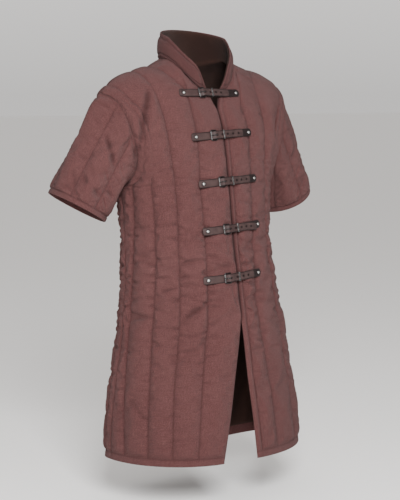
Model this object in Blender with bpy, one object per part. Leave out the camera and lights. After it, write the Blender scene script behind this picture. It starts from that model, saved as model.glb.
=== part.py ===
"""A quilted short-sleeved gambeson with a stand collar and five buckled straps, as worn but hollow.

Metres, +Z up. The wearer faces -Y and the wearer's right is -X. The origin is between the shoulders at
the base of the neck, where the wearer carries the garment. Every panel is a grid of points on the plain
inside of the cloth. The outside is those points moved out by the padding, which is thin on the stitch
lines and thick between them. Neighbouring panels share their seam points, then draw back a little.
"""

import math
from typing import NamedTuple

import bmesh
import bpy
import numpy as np

MM = 0.001
SEAM_SETBACK = 0.3 * MM  # each panel stops this far short of a seam
FOLD_SETBACK = 0.6 * MM  # the sleeves and the collar, which leave their seam at a sharp angle

# --- Padding ---------------------------------------------------------------------------------------
STITCH_WALL = 3.5 * MM  # cloth thickness on a stitch line
CROWN_WALL = 10.0 * MM  # cloth thickness in the middle of a channel
EDGE_WALL = 5.0 * MM  # turned and stitched front edges
HEM_WALL = 5.0 * MM
ARMHOLE_WALL = 4.5 * MM  # the band beside an armhole, and the sleeve's first rows
COLLAR_WALL = 6.0 * MM
LINING_WALL = 1.2 * MM
LINING_GAP = 1.6 * MM
CHANNEL_STEPS = 4  # grid columns in a quilted channel
LEAST_MITRE = 0.45  # a seam's wall grows by at most the inverse of this where panels meet at an angle

# --- Torso -----------------------------------------------------------------------------------------
HEM_HEIGHT = -0.955
ARMPIT_HEIGHT = -0.27
SIDE_DEPTH = 0.012  # how far back the side seam and shoulder seam lie
BACK_DIP = 0.040  # how much lower the hem hangs at the middle of the back than in front
BACK_DIP_START = -0.700  # the back's rows begin to dip below this height
SHOULDER_HALF_WIDTH = 0.277
LOW_ROWS = 14  # from the hem to the armpit
HIGH_ROWS = 12  # from the armpit to the shoulder
WAIST_ROW = 11  # the row at the narrowest height


class TorsoRing(NamedTuple):
    """One level section of the torso below the armpits."""

    height: float
    half_width: float
    front: float
    back: float
    sway: float  # how far the section lies towards the wearer's left


TORSO_RINGS = (
    TorsoRing(height=-0.955, half_width=0.276, front=0.194, back=0.168, sway=0.024),
    TorsoRing(height=-0.850, half_width=0.266, front=0.187, back=0.159, sway=0.022),
    TorsoRing(height=-0.740, half_width=0.247, front=0.178, back=0.145, sway=0.018),
    TorsoRing(height=-0.640, half_width=0.230, front=0.170, back=0.130, sway=0.016),
    TorsoRing(height=-0.530, half_width=0.213, front=0.159, back=0.119, sway=0.009),
    TorsoRing(height=-0.400, half_width=0.204, front=0.142, back=0.113, sway=0.001),
    TorsoRing(height=-0.270, half_width=0.215, front=0.120, back=0.121, sway=0.000),
)


class RidgePoint(NamedTuple):
    """Height of the shoulder ridge at a distance from the middle."""

    across: float
    height: float


SHOULDER_RIDGE = (
    RidgePoint(across=0.000, height=0.048),
    RidgePoint(across=0.085, height=0.040),
    RidgePoint(across=0.131, height=0.0200),
    RidgePoint(across=0.170, height=0.0100),
    RidgePoint(across=0.210, height=-0.0020),
    RidgePoint(across=0.245, height=-0.0190),
    RidgePoint(across=0.277, height=-0.0430),
)


class UpperCurve(NamedTuple):
    """Handles of a column that climbs from armpit level over the shoulder, as offsets from its ends."""

    across: float  # the column's share of the panel's width
    start_out: float
    start_rise: float
    end_out: float
    end_rise: float


FRONT_UPPER_CURVES = (
    UpperCurve(across=0.00, start_out=-0.020, start_rise=0.100, end_out=0.095, end_rise=-0.020),
    UpperCurve(across=0.45, start_out=0.000, start_rise=0.090, end_out=0.105, end_rise=-0.012),
    UpperCurve(across=0.75, start_out=0.035, start_rise=0.065, end_out=0.098, end_rise=-0.010),
    UpperCurve(across=1.00, start_out=0.090, start_rise=0.025, end_out=0.085, end_rise=-0.010),
)
BACK_UPPER_CURVES = (
    UpperCurve(across=0.00, start_out=0.005, start_rise=0.130, end_out=0.095, end_rise=0.000),
    UpperCurve(across=0.45, start_out=0.010, start_rise=0.120, end_out=0.100, end_rise=-0.018),
    UpperCurve(across=0.75, start_out=0.040, start_rise=0.080, end_out=0.095, end_rise=-0.020),
    UpperCurve(across=1.00, start_out=0.090, start_rise=0.025, end_out=0.085, end_rise=-0.014),
)
ARMHOLE_START_IN = -0.004
ARMHOLE_END_IN = -0.042

NECK_SHARE = 0.22  # share of the panel's width that the neckline takes
FRONT_NECK_DROP = 0.39
BACK_NECK_DROP = 0.20

NECK_STEPS = 6  # grid columns between the middle and the side of the neck
EDGE_STITCH_SHARE = NECK_SHARE * math.sin(math.pi / 2 / NECK_STEPS)
QUILT_LINES = (NECK_SHARE, 0.42, 0.68, 1.0)  # stitch lines beyond the first channel, on front and back
FRONT_LINES = (EDGE_STITCH_SHARE, *QUILT_LINES)
BACK_LINES = (0.0, *QUILT_LINES)

# --- Front opening ---------------------------------------------------------------------------------
COLLAR_V_HEIGHT = -0.088  # the fronts part above this
COLLAR_V_TOP = -0.037
COLLAR_V_HALF_GAP = 0.021
SLIT_HEIGHT = -0.595  # and below this
SLIT_HALF_GAP_RIGHT = 0.083
SLIT_HALF_GAP_LEFT = 0.023
SLIT_POWER = 1.15


class Drift(NamedTuple):
    """How far both fronts' meeting edges lie towards the wearer's left at a height."""

    height: float
    shift: float


OPENING_DRIFT = (
    Drift(height=-0.62, shift=0.0),
    Drift(height=-0.44, shift=0.004),
    Drift(height=-0.30, shift=0.009),
    Drift(height=-0.14, shift=0.009),
    Drift(height=-0.07, shift=0.0),
)


class Fold(NamedTuple):
    """A long dent in the cloth: two ends as (x, y, z), how wide it is and how deep."""

    start: tuple
    end: tuple
    width: float
    depth: float


FOLDS = (
    Fold(start=(-0.196, -0.090, -0.045), end=(-0.222, -0.075, -0.150), width=0.013, depth=0.012),
    Fold(start=(-0.222, -0.075, -0.150), end=(-0.214, -0.040, -0.250), width=0.015, depth=0.013),
    Fold(start=(0.196, -0.090, -0.055), end=(0.220, -0.075, -0.150), width=0.013, depth=0.010),
    Fold(start=(-0.200, 0.110, -0.060), end=(-0.224, 0.085, -0.160), width=0.016, depth=0.008),
    Fold(start=(0.200, 0.110, -0.060), end=(0.224, 0.085, -0.160), width=0.016, depth=0.008),
    Fold(start=(-0.060, -0.135, -0.395), end=(-0.195, -0.030, -0.370), width=0.014, depth=0.005),
    Fold(start=(-0.020, -0.150, -0.480), end=(-0.190, -0.050, -0.455), width=0.016, depth=0.006),
    Fold(start=(-0.060, -0.155, -0.575), end=(-0.205, -0.020, -0.600), width=0.018, depth=0.007),
    Fold(start=(-0.070, -0.160, -0.655), end=(-0.150, -0.120, -0.700), width=0.018, depth=0.006),
    Fold(start=(0.050, -0.140, -0.430), end=(0.190, -0.050, -0.400), width=0.016, depth=0.006),
    Fold(start=(0.060, -0.155, -0.560), end=(0.200, -0.030, -0.590), width=0.018, depth=0.007),
    Fold(start=(-0.120, 0.110, -0.450), end=(0.120, 0.110, -0.460), width=0.020, depth=0.006),
    Fold(start=(-0.150, 0.105, -0.560), end=(0.140, 0.112, -0.550), width=0.020, depth=0.005),
)

# --- Sleeves ---------------------------------------------------------------------------------------
SLEEVE_ROWS = 9
CUFF_CENTRE = (0.328, 0.050, -0.322)
CUFF_RADIUS_ACROSS = 0.073
CUFF_RADIUS_DEEP = 0.078
SLEEVE_OUT_ANGLE = math.radians(28)
SLEEVE_BACK_ANGLE = math.radians(9)
SLEEVE_TOP_HANDLE = 0.095
SLEEVE_UNDER_HANDLE = 0.035
SLEEVE_CUFF_HANDLE = 0.055
SLEEVE_CHANNELS = 6

# --- Collar ----------------------------------------------------------------------------------------
COLLAR_ROWS = 4
COLLAR_RADIUS_ACROSS = 0.087
COLLAR_RADIUS_DEEP = 0.083
COLLAR_DEPTH_SHIFT = 0.002
COLLAR_FRONT_ANGLE = math.radians(33)
COLLAR_SIDE_RIM = 0.094
COLLAR_BACK_RISE = 0.022
COLLAR_FRONT_FALL = 0.088
COLLAR_FALL_POWER = 1.3
COLLAR_BULGE = 0.004

# --- Closures ----------------------------------------------------------------------------------------
# Each closure is laid out flat as (along, across, out) in millimetres, then bent round the chest.
# along runs to the wearer's left from the middle of the chest, and out starts on the padding's crown.


class Closure(NamedTuple):
    """Where one buckled strap crosses the chest."""

    height: float  # at the middle of the chest, m
    tilt: float  # rise for each metre to the wearer's left
    shift: float  # m to the wearer's left
    rivet: float  # the buckle strap's rivet, mm along
    tip: float  # where the tongue ends, mm along
    droop: float  # how far the tongue's tip hangs, mm
    lift: float  # from the padding's crown to the straps' zero level, mm


CLOSURES = (
    Closure(height=-0.0480, tilt=-0.005, shift=-0.016, rivet=78.0, tip=56.0, droop=0.0, lift=0.3),
    Closure(height=-0.1490, tilt=0.057, shift=0.000, rivet=83.0, tip=64.0, droop=0.0, lift=0.7),
    Closure(height=-0.2640, tilt=0.062, shift=0.012, rivet=80.0, tip=63.0, droop=0.0, lift=0.7),
    Closure(height=-0.3800, tilt=0.065, shift=0.012, rivet=79.0, tip=72.0, droop=4.0, lift=0.7),
    Closure(height=-0.4990, tilt=0.066, shift=0.005, rivet=70.0, tip=53.0, droop=0.0, lift=0.7),
)
STRAP_WIDTH = 20.0
TONGUE_THICKNESS = 1.8
CHAPE_THICKNESS = 1.4
TONGUE_END = -92.0
CHAPE_BEYOND = 10.0  # how far the buckle strap runs past its rivet
RIVET_RIGHT_ALONG = -80.0
ROLLER_ALONG = -38.0
HEEL_ALONG = -22.0
FRAME_LEVEL = 4.5
FRAME_HALF_WIDTH = 12.3
WIRE_RADIUS = 1.2
ROLLER_RADIUS = 1.8
KEEPER_ALONG = 1.0
HOLE_RADIUS = 2.0
HOLE_PITCH = 18.0
HOLE_COUNT = 4  # beyond the one that the prong fills
LAST_HOLE_MARGIN = 8.0  # between the last hole and the tip, at least
PUNCH_REACH = 2.5
DROOP_START = 30.0  # where the tongue's free end begins to hang, mm along
PRONG_RADIUS = 1.1
PRONG_TIP_RADIUS = 0.8
PRONG_HOLE_ALONG = -23.5
GAP = 0.3  # between pieces that touch on the real garment
BUCKLE_CORNER = 2.0  # how far the frame's corners are rounded
CORNER_BULGE = 0.6
KEEPER_HALF_LENGTH = 2.0
KEEPER_SHEET = 0.95
KEEPER_LOW = 0.35
KEEPER_HIGH = 7.25  # inside of its top
KEEPER_SIDE_GAP = 0.4
ROOT_TAPER = 0.85  # share of the width at the tongue's riveted end


class StrapPoint(NamedTuple):
    """Middle of a strap's thickness, in mm."""

    along: float
    out: float


TONGUE_PATH = (
    StrapPoint(along=TONGUE_END, out=1.2),
    StrapPoint(along=-70.0, out=1.2),
    StrapPoint(along=-48.0, out=1.25),
    StrapPoint(along=-39.0, out=1.25),
    StrapPoint(along=-34.5, out=2.3),
    StrapPoint(along=-28.5, out=7.6),
    StrapPoint(along=-25.0, out=8.7),
    StrapPoint(along=-19.5, out=8.7),
    StrapPoint(along=-14.0, out=7.3),
    StrapPoint(along=-8.0, out=6.1),
    StrapPoint(along=2.0, out=6.0),
    StrapPoint(along=15.0, out=6.0),
    StrapPoint(along=25.0, out=4.3),
    StrapPoint(along=36.0, out=3.1),
)
CHAPE_PATH = (
    StrapPoint(along=60.0, out=1.1),
    StrapPoint(along=34.0, out=1.3),
    StrapPoint(along=24.0, out=2.0),
    StrapPoint(along=14.0, out=2.3),
    StrapPoint(along=-12.0, out=2.3),
)
CHAPE_RETURN = (
    StrapPoint(along=-17.0, out=5.6),
    StrapPoint(along=-12.0, out=4.3),
    StrapPoint(along=-6.0, out=4.0),
    StrapPoint(along=14.0, out=4.0),
)
PRONG_PATH = (
    StrapPoint(along=PRONG_HOLE_ALONG, out=7.9),
    StrapPoint(along=PRONG_HOLE_ALONG, out=9.6),
    StrapPoint(along=-24.0, out=11.0),
    StrapPoint(along=-25.5, out=11.4),
    StrapPoint(along=-33.0, out=8.9),
    StrapPoint(along=ROLLER_ALONG, out=7.7),
    StrapPoint(along=-40.6, out=6.8),
)
LOOP_STEPS = 6
ROUND_SIDES = 8
HOLE_SIDES = 6
RIVET_PROFILE = ((5.4, 0.0), (5.4, 0.7), (3.9, 1.0), (3.4, 1.9), (1.8, 2.6))  # radius, height
TIP_LENGTH = 6.0
TIP_TAPER = ((2.6, 0.8), (0.8, 0.45), (0.0, 0.18))  # mm from the tip, share of the width
STRAP_SPACING = 13.0  # mm between the points of a strap's path


def smooth_table(rows, key, value, at):
    """Value of one named column at a place along another, on a smooth curve through the rows."""
    keys = [getattr(row, key) for row in rows]
    values = [getattr(row, value) for row in rows]
    at = min(max(at, keys[0]), keys[-1])
    i = max(j for j in range(len(keys) - 1) if keys[j] <= at)

    def slope(j):
        low, high = max(j - 1, 0), min(j + 1, len(keys) - 1)
        return (values[high] - values[low]) / (keys[high] - keys[low])

    span = keys[i + 1] - keys[i]
    t = (at - keys[i]) / span
    hermite = (2 * t**3 - 3 * t**2 + 1, t**3 - 2 * t**2 + t, -2 * t**3 + 3 * t**2, t**3 - t**2)
    ends = (values[i], span * slope(i), values[i + 1], span * slope(i + 1))
    return sum(weight * end for weight, end in zip(hermite, ends))


def ease(low, high, at):
    """0 below low, 1 above high and a smooth step between."""
    t = min(max((at - low) / (high - low), 0.0), 1.0)
    return t * t * (3 - 2 * t)


def bezier(points, t):
    """Point on the cubic curve with these four handles."""
    a, b, c, d = (np.asarray(point, float) for point in points)
    return (1 - t) ** 3 * a + 3 * t * (1 - t) ** 2 * b + 3 * t * t * (1 - t) * c + t**3 * d


def torso_point(across, height, front):
    """Point of a level section. across runs from 0 at the middle to 1 at the side seam."""
    angle = across * math.pi / 2
    half_width = smooth_table(TORSO_RINGS, "height", "half_width", height)
    depth = smooth_table(TORSO_RINGS, "height", "front" if front else "back", height)
    way = -1 if front else 1
    middle = depth - way * SIDE_DEPTH
    dip = 0.0 if front else BACK_DIP * ease(BACK_DIP_START, HEM_HEIGHT, height) * math.cos(angle) ** 2
    return np.array((half_width * math.sin(angle), SIDE_DEPTH + way * middle * math.cos(angle), height - dip))


def upper_point(across, rise, front):
    """Point above armpit level. rise runs from 0 there to 1 on the shoulder ridge."""
    way = -1 if front else 1
    curves = FRONT_UPPER_CURVES if front else BACK_UPPER_CURVES
    start_out, start_rise, end_out, end_rise = (
        smooth_table(curves, "across", column, across) for column in UpperCurve._fields[1:]
    )
    start = torso_point(across, ARMPIT_HEIGHT, front)
    top_across = SHOULDER_HALF_WIDTH * math.sin(across * math.pi / 2)
    end = np.array((top_across, SIDE_DEPTH, smooth_table(SHOULDER_RIDGE, "across", "height", top_across)))
    start_in = (ARMHOLE_START_IN * across, way * start_out, start_rise)
    end_in = (ARMHOLE_END_IN * across, way * end_out, end_rise)
    return bezier((start, start + start_in, end + end_in, end), rise)


def neck_limit(across, front):
    """How far up a column goes: to the neckline near the middle and to the shoulder seam elsewhere."""
    if across >= NECK_SHARE:
        return 1.0
    drop = FRONT_NECK_DROP if front else BACK_NECK_DROP
    return 1 - drop * math.sqrt(1 - (across / NECK_SHARE) ** 2)


def opening_shift(across, height, wearers_right):
    """How far a front's point is drawn from the middle by the neck's V and by the slit below."""
    shift = SEAM_SETBACK * max(0.0, 1 - across / NECK_SHARE)
    if height > COLLAR_V_HEIGHT and across < NECK_SHARE:
        share = min((height - COLLAR_V_HEIGHT) / (COLLAR_V_TOP - COLLAR_V_HEIGHT), 1.0)
        shift += COLLAR_V_HALF_GAP * share**1.2 * (1 - across / NECK_SHARE) ** 1.5
    if height < SLIT_HEIGHT:
        widest = SLIT_HALF_GAP_RIGHT if wearers_right else SLIT_HALF_GAP_LEFT
        share = (SLIT_HEIGHT - height) / (SLIT_HEIGHT - HEM_HEIGHT)
        shift += widest * share**SLIT_POWER * (1 - across) ** 2
    return shift


def folded(point):
    """The point pushed towards the body by every fold near it."""
    pushed = np.array(point, float)
    inward = np.array((-point[0], SIDE_DEPTH - point[1], 0.0))
    inward /= max(np.linalg.norm(inward), 1e-9)
    for fold in FOLDS:
        start, end = np.array(fold.start), np.array(fold.end)
        along = np.clip(np.dot(point - start, end - start) / np.dot(end - start, end - start), 0, 1)
        distance = np.linalg.norm(point - start - along * (end - start))
        pushed += inward * fold.depth * math.exp(-((distance / fold.width) ** 2))
    return pushed


def panel_point(across, row, front, wearers_right=True):
    """Inside point of the garment, on the wearer's left (+X). row runs from 0 at the hem to 1 at the armpit
    and 2 at the neckline or shoulder."""
    if row <= 1:
        point = torso_point(across, HEM_HEIGHT + row * (ARMPIT_HEIGHT - HEM_HEIGHT), front)
    else:
        point = upper_point(across, (row - 1) * neck_limit(across, front), front)
    if front:
        point[0] += opening_shift(across, point[2], wearers_right)
    if wearers_right:
        point[0] = -point[0]
    point[0] += smooth_table(TORSO_RINGS, "height", "sway", point[2])
    if front:
        point[0] += (1 - across) ** 2 * smooth_table(OPENING_DRIFT, "height", "shift", point[2])
    return folded(point)


NECK_TURN = math.pi / 2 / NECK_STEPS
COLUMNS = [NECK_SHARE * math.sin(NECK_TURN * i) for i in range(NECK_STEPS)]
for line, following in zip(QUILT_LINES, QUILT_LINES[1:]):
    COLUMNS += [line + (following - line) * i / CHANNEL_STEPS for i in range(CHANNEL_STEPS)]
COLUMNS.append(1.0)
ROWS = [i / LOW_ROWS for i in range(LOW_ROWS)] + [1 + i / HIGH_ROWS for i in range(HIGH_ROWS + 1)]


def pillow(place, lines):
    """0 on a stitch line and 1 in the middle of a channel."""
    for low, high in zip(lines, lines[1:]):
        if low <= place <= high:
            return 1 - abs(2 * (place - low) / (high - low) - 1) ** 2.5
    return 0.0


def panel_wall(place, row, lines):
    """Thickness of a front or back panel."""
    at_armhole = place > lines[-2] and row > 1 - 1.5 / LOW_ROWS
    crown = ARMHOLE_WALL if at_armhole else CROWN_WALL
    wall = STITCH_WALL + (crown - STITCH_WALL) * pillow(place, lines)
    if place < lines[0]:
        wall = EDGE_WALL
    if row == 0:
        return min(wall, HEM_WALL)
    return STITCH_WALL if row == 2 else wall


# --- Grids of inside points --------------------------------------------------------------------------


class Grid(NamedTuple):
    """A panel: its inside points by row and column, its wall, and whether its columns close into a tube."""

    points: np.ndarray
    walls: np.ndarray
    tube: bool
    flip: bool
    seams: tuple  # which borders meet another panel: first_row, last_row, first_column, last_column
    setback: float = SEAM_SETBACK
    spans_middle: bool = False


def front_grid(wearers_right):
    points = [[panel_point(u, row, True, wearers_right) for u in COLUMNS] for row in ROWS]
    walls = [[panel_wall(u, row, FRONT_LINES) for u in COLUMNS] for row in ROWS]
    return Grid(np.array(points), np.array(walls), False, wearers_right, ("last_row", "last_column"))


def back_grid():
    places = [-u for u in reversed(COLUMNS[1:])] + COLUMNS
    points = [[panel_point(abs(u), row, False, u < 0) for u in places] for row in ROWS]
    walls = [[panel_wall(abs(u), row, BACK_LINES) for u in places] for row in ROWS]
    seams = ("last_row", "first_column", "last_column")
    return Grid(np.array(points), np.array(walls), False, True, seams, spans_middle=True)


def sleeve_axis(side):
    """Unit vector down the sleeve."""
    out, back = math.tan(SLEEVE_OUT_ANGLE), math.tan(SLEEVE_BACK_ANGLE)
    axis = np.array((side * out, back, -1.0))
    return axis / np.linalg.norm(axis)


def sleeve_grid(front, back, side):
    """A tube from the armhole's own points to a round cuff. The armhole runs up the front, then down the
    back."""
    back_edge = back.points[:, -1 if side > 0 else 0]
    armhole = np.vstack((front.points[LOW_ROWS:, -1], back_edge[LOW_ROWS + 1 : -1][::-1]))
    count = len(armhole)
    axis = sleeve_axis(side)
    deep = np.cross(axis, (side, 0.0, 0.0))
    deep = np.array((0.0, -1.0, 0.0)) if abs(deep[1]) < 1e-6 else deep / np.linalg.norm(deep)
    deep = deep if deep[1] < 0 else -deep
    across = np.cross(deep, axis)
    across = across if across[0] * side > 0 else -across
    centre = np.array((side * CUFF_CENTRE[0], *CUFF_CENTRE[1:]))
    lengths = np.linalg.norm(np.roll(armhole, -1, axis=0) - armhole, axis=1)
    turns = np.concatenate(([0], np.cumsum(lengths)[:-1])) / lengths.sum()
    turns = 0.5 * turns + 0.5 * np.arange(count) / count
    rows = []
    for step in range(SLEEVE_ROWS + 1):
        t = step / SLEEVE_ROWS
        ring = []
        for k in range(count):
            angle = 2 * math.pi * turns[k]
            cuff = centre - across * CUFF_RADIUS_ACROSS * math.cos(angle)
            cuff = cuff + deep * CUFF_RADIUS_DEEP * math.sin(angle)
            under = ease(0.35, 1.0, 0.5 + 0.5 * math.cos(angle))
            leave = (1 - under) * axis * SLEEVE_TOP_HANDLE
            leave = leave + under * np.array((side, 0.0, 0.0)) * SLEEVE_UNDER_HANDLE
            handles = (armhole[k], armhole[k] + leave, cuff - axis * SLEEVE_CUFF_HANDLE, cuff)
            ring.append(bezier(handles, t))
        rows.append(ring)
    steps = count // SLEEVE_CHANNELS
    swell = [1 - abs(2 * ((k % steps) / steps) - 1) ** 2.5 for k in range(count)]
    walls = [[STITCH_WALL + (CROWN_WALL - STITCH_WALL) * s for s in swell] for _ in rows]
    walls[0] = [STITCH_WALL] * count
    walls[1] = [min(wall, ARMHOLE_WALL) for wall in walls[1]]
    walls[-1] = [min(wall, HEM_WALL) for wall in walls[-1]]
    return Grid(np.array(rows), np.array(walls), True, side > 0, ("first_row",), FOLD_SETBACK)


def collar_grid(front_right, front_left, back):
    """A band from the neckline's own points to the rim, open at the front."""
    middle = back.points.shape[1] // 2
    neck_back = back.points[-1, middle - NECK_STEPS : middle + NECK_STEPS + 1]
    right = front_right.points[-1, : NECK_STEPS + 1]
    left = front_left.points[-1, :NECK_STEPS][::-1]
    base = np.vstack((right, neck_back[1:], left))
    turns = np.arctan2(-base[:, 0], -(base[:, 1] - COLLAR_DEPTH_SHIFT)) % (2 * math.pi)
    spread = (math.pi - COLLAR_FRONT_ANGLE) / (math.pi - turns[0])
    rows = []
    for step in range(COLLAR_ROWS + 1):
        t = step / COLLAR_ROWS
        row = []
        for point, turn in zip(base, turns):
            angle = math.pi + (turn - math.pi) * spread
            facing = math.cos(angle)
            rim_height = COLLAR_SIDE_RIM + COLLAR_BACK_RISE * max(0.0, -facing)
            rim_height -= COLLAR_FRONT_FALL * max(0.0, facing) ** COLLAR_FALL_POWER
            rim = np.array(
                (
                    -COLLAR_RADIUS_ACROSS * math.sin(angle),
                    COLLAR_DEPTH_SHIFT - COLLAR_RADIUS_DEEP * facing,
                    rim_height,
                )
            )
            out = np.array((rim[0], rim[1], 0.0)) / np.hypot(rim[0], rim[1])
            row.append((1 - t) * point + t * rim + out * COLLAR_BULGE * math.sin(math.pi * t))
        rows.append(row)
    walls = np.full((len(rows), len(base)), COLLAR_WALL)
    walls[0] = STITCH_WALL
    return Grid(np.array(rows), walls, False, True, ("first_row",), FOLD_SETBACK, spans_middle=True)


# --- From grids to solids ------------------------------------------------------------------------------


def grid_quads(grid):
    """Index quads of a grid, facing out, which split between their first and third corners. The splits of a
    panel that spans the body's middle mirror there."""
    rows, columns = grid.points.shape[:2]
    last = columns if grid.tube else columns - 1
    middle = (columns - 1) // 2 if grid.spans_middle else 0
    quads = []
    for i in range(rows - 1):
        for j in range(last):
            k = (j + 1) % columns
            quad = ((i, j), (i, k), (i + 1, k), (i + 1, j))
            if j < middle:
                quad = quad[1:] + quad[:1]
            quads.append(quad[:1] + quad[:0:-1] if grid.flip else quad)
    return quads


def unit(vector):
    return vector / np.linalg.norm(vector)


def seam_normals(grids):
    """Outward vectors of every grid point, shared at seams, long enough to mitre the wall there."""
    sums = {}
    for number, grid in enumerate(grids):
        for quad in grid_quads(grid):
            corners = [grid.points[place] for place in quad]
            normal = np.cross(corners[2] - corners[0], corners[3] - corners[1])
            for corner in corners:
                panels = sums.setdefault(tuple(np.round(corner, 5)), {})
                panels[number] = panels.get(number, 0) + normal
    vectors = {}
    for key, panels in sums.items():
        faces = [unit(normal) for normal in panels.values()]
        mean = unit(sum(faces))
        vectors[key] = mean / max(np.mean([np.dot(face, mean) for face in faces]), LEAST_MITRE)
    return [
        np.array([vectors[tuple(np.round(point, 5))] for point in grid.points.reshape(-1, 3)]).reshape(
            grid.points.shape
        )
        for grid in grids
    ]


def set_back(grid, normals):
    """How far each point moves so that borders which meet another panel draw back from the seam."""
    moves = np.zeros_like(grid.points)
    borders = {
        "first_row": ((0, slice(None)), (1, slice(None))),
        "last_row": ((-1, slice(None)), (-2, slice(None))),
        "first_column": ((slice(None), 0), (slice(None), 1)),
        "last_column": ((slice(None), -1), (slice(None), -2)),
    }
    for name in grid.seams:
        border, inner = borders[name]
        edge = grid.points[border]
        if grid.tube:
            along = np.roll(edge, -1, axis=0) - np.roll(edge, 1, axis=0)
        else:
            along = np.gradient(edge, axis=0)
        away = np.cross(along, normals[border])
        away /= np.linalg.norm(away, axis=1, keepdims=True)
        moves[border] += grid.setback * away * np.sign(np.sum(away * (grid.points[inner] - edge)))
    return moves


def seam_order(point):
    """Sorts the points along a seam the same way on both sides of the body."""
    x, y, z = np.round(point, 5)
    return (-y, abs(x), z)


def wall_object(name, grid, normals, material):
    """The closed wall between a grid's inside and its padded outside."""
    inside = grid.points + set_back(grid, normals)
    outside = inside + normals * grid.walls[..., None]
    rows, columns = grid.points.shape[:2]
    size = rows * columns
    points = np.vstack((inside.reshape(-1, 3), outside.reshape(-1, 3)))

    def index(place, out):
        return place[0] * columns + place[1] + (size if out else 0)

    faces = []
    for quad in grid_quads(grid):
        faces.append([index(place, True) for place in quad])
        faces.append([index(place, False) for place in quad[::-1]])
    used = {}
    for quad in grid_quads(grid):
        for a, b in zip(quad, quad[1:] + quad[:1]):
            used[(a, b)] = used.get((a, b), 0) + 1
    for a, b in used:
        if (b, a) in used:
            continue
        # Both panels of a seam split its end face along the same diagonal.
        if seam_order(grid.points[a]) < seam_order(grid.points[b]):
            faces.append([index(b, True), index(a, True), index(b, False)])
            faces.append([index(a, True), index(a, False), index(b, False)])
        else:
            faces.append([index(b, True), index(a, True), index(a, False)])
            faces.append([index(b, True), index(a, False), index(b, False)])
    return mesh_object(name, points, faces, material)


def mesh_object(name, points, faces, material):
    """A mesh object with its faces turned outward."""
    mesh = bpy.data.meshes.new(name)
    mesh.from_pydata([tuple(map(float, point)) for point in points], [], faces)
    work = bmesh.new()
    work.from_mesh(mesh)
    bmesh.ops.triangulate(work, faces=work.faces, quad_method="FIXED")
    bmesh.ops.recalc_face_normals(work, faces=work.faces)
    work.to_mesh(mesh)
    work.free()
    mesh.materials.append(material)
    thing = bpy.data.objects.new(name, mesh)
    bpy.context.collection.objects.link(thing)
    return thing


def finish(name, colour, roughness, metallic=0.0):
    """A plain Principled material."""
    material = bpy.data.materials.new(name)
    material.use_nodes = True
    shader = material.node_tree.nodes["Principled BSDF"]
    shader.inputs["Base Color"].default_value = (*colour, 1.0)
    shader.inputs["Roughness"].default_value = roughness
    shader.inputs["Metallic"].default_value = metallic
    material.diffuse_color = (*colour, 1.0)
    return material


def lining_object(name, grid, normals, rows, columns, material):
    """A thin skin inside a panel, on some of its rows and columns."""
    outer = grid.points[np.ix_(rows, columns)] - normals[np.ix_(rows, columns)] * LINING_GAP
    inner = outer - normals[np.ix_(rows, columns)] * LINING_WALL
    walls = np.full(inner.shape[:2], LINING_WALL)
    skin = Grid(inner, walls, False, grid.flip, (), spans_middle=grid.spans_middle)
    return wall_object(name, skin, normals[np.ix_(rows, columns)], material)


# --- Closures, bent round the chest --------------------------------------------------------------------


def chest_point(across, height):
    """Inside of the closed chest. across is negative on the wearer's right."""
    share = abs(across)
    if height <= ARMPIT_HEIGHT:
        point = torso_point(share, height, True)
    else:
        low, high = 0.0, 1.0
        for _ in range(40):
            middle = (low + high) / 2
            if upper_point(share, middle, True)[2] < height:
                low = middle
            else:
                high = middle
        point = upper_point(share, low, True)
    point[0] = math.copysign(point[0], across) + smooth_table(TORSO_RINGS, "height", "sway", height)
    return point


class Bend:
    """Carries flat closure coordinates onto the chest."""

    SAMPLES = 61
    REACH = 0.62  # share of each front's width that the samples cover

    def __init__(self, closure):
        shares = np.linspace(-self.REACH, self.REACH, self.SAMPLES)
        rough = [chest_point(share, closure.height) for share in shares]
        heights = [closure.height + closure.tilt * point[0] for point in rough]
        line = np.array([chest_point(share, height) for share, height in zip(shares, heights)])
        above = np.array([chest_point(share, height + 0.01) for share, height in zip(shares, heights)])
        lengths = np.concatenate(([0.0], np.cumsum(np.linalg.norm(np.diff(line, axis=0), axis=1))))
        self.along = lengths - np.interp(0.0, line[:, 0], lengths) - closure.shift
        along = np.gradient(line, axis=0)
        out = np.cross(along, above - line)
        self.line = line
        self.level = CROWN_WALL + closure.lift * MM
        self.out = out / np.linalg.norm(out, axis=1, keepdims=True)

    def sample(self, values, along):
        """Value of each column of a sampled array at a place along."""
        return np.array([np.interp(along, self.along, values[:, i]) for i in range(3)])

    def place(self, points):
        """World points of flat ones in mm."""
        placed = []
        for along, across, out in points:
            base = self.sample(self.line, along * MM)
            normal = unit(self.sample(self.out, along * MM))
            ahead = self.sample(self.line, (along + 1) * MM) - self.sample(self.line, (along - 1) * MM)
            up = unit(np.cross(normal, ahead))
            placed.append(base + normal * (self.level + out * MM) + up * across * MM)
        return placed


def rounded_line(points, spacing):
    """Points along a smooth curve through a strap's path, no further apart than spacing."""
    path = np.array(points, float)
    ends = np.vstack((2 * path[0] - path[1], path, 2 * path[-1] - path[-2]))
    line = []
    for a, b, c, d in zip(ends, ends[1:], ends[2:], ends[3:]):
        count = max(1, math.ceil(np.linalg.norm(c - b) / spacing))
        for step in range(count):
            t = step / count
            bow, twist = 2 * a - 5 * b + 4 * c - d, 3 * b - a - 3 * c + d
            line.append(b + ((c - a) * t + bow * t**2 + twist * t**3) / 2)
    line.append(path[-1])
    return np.array(line)


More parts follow.
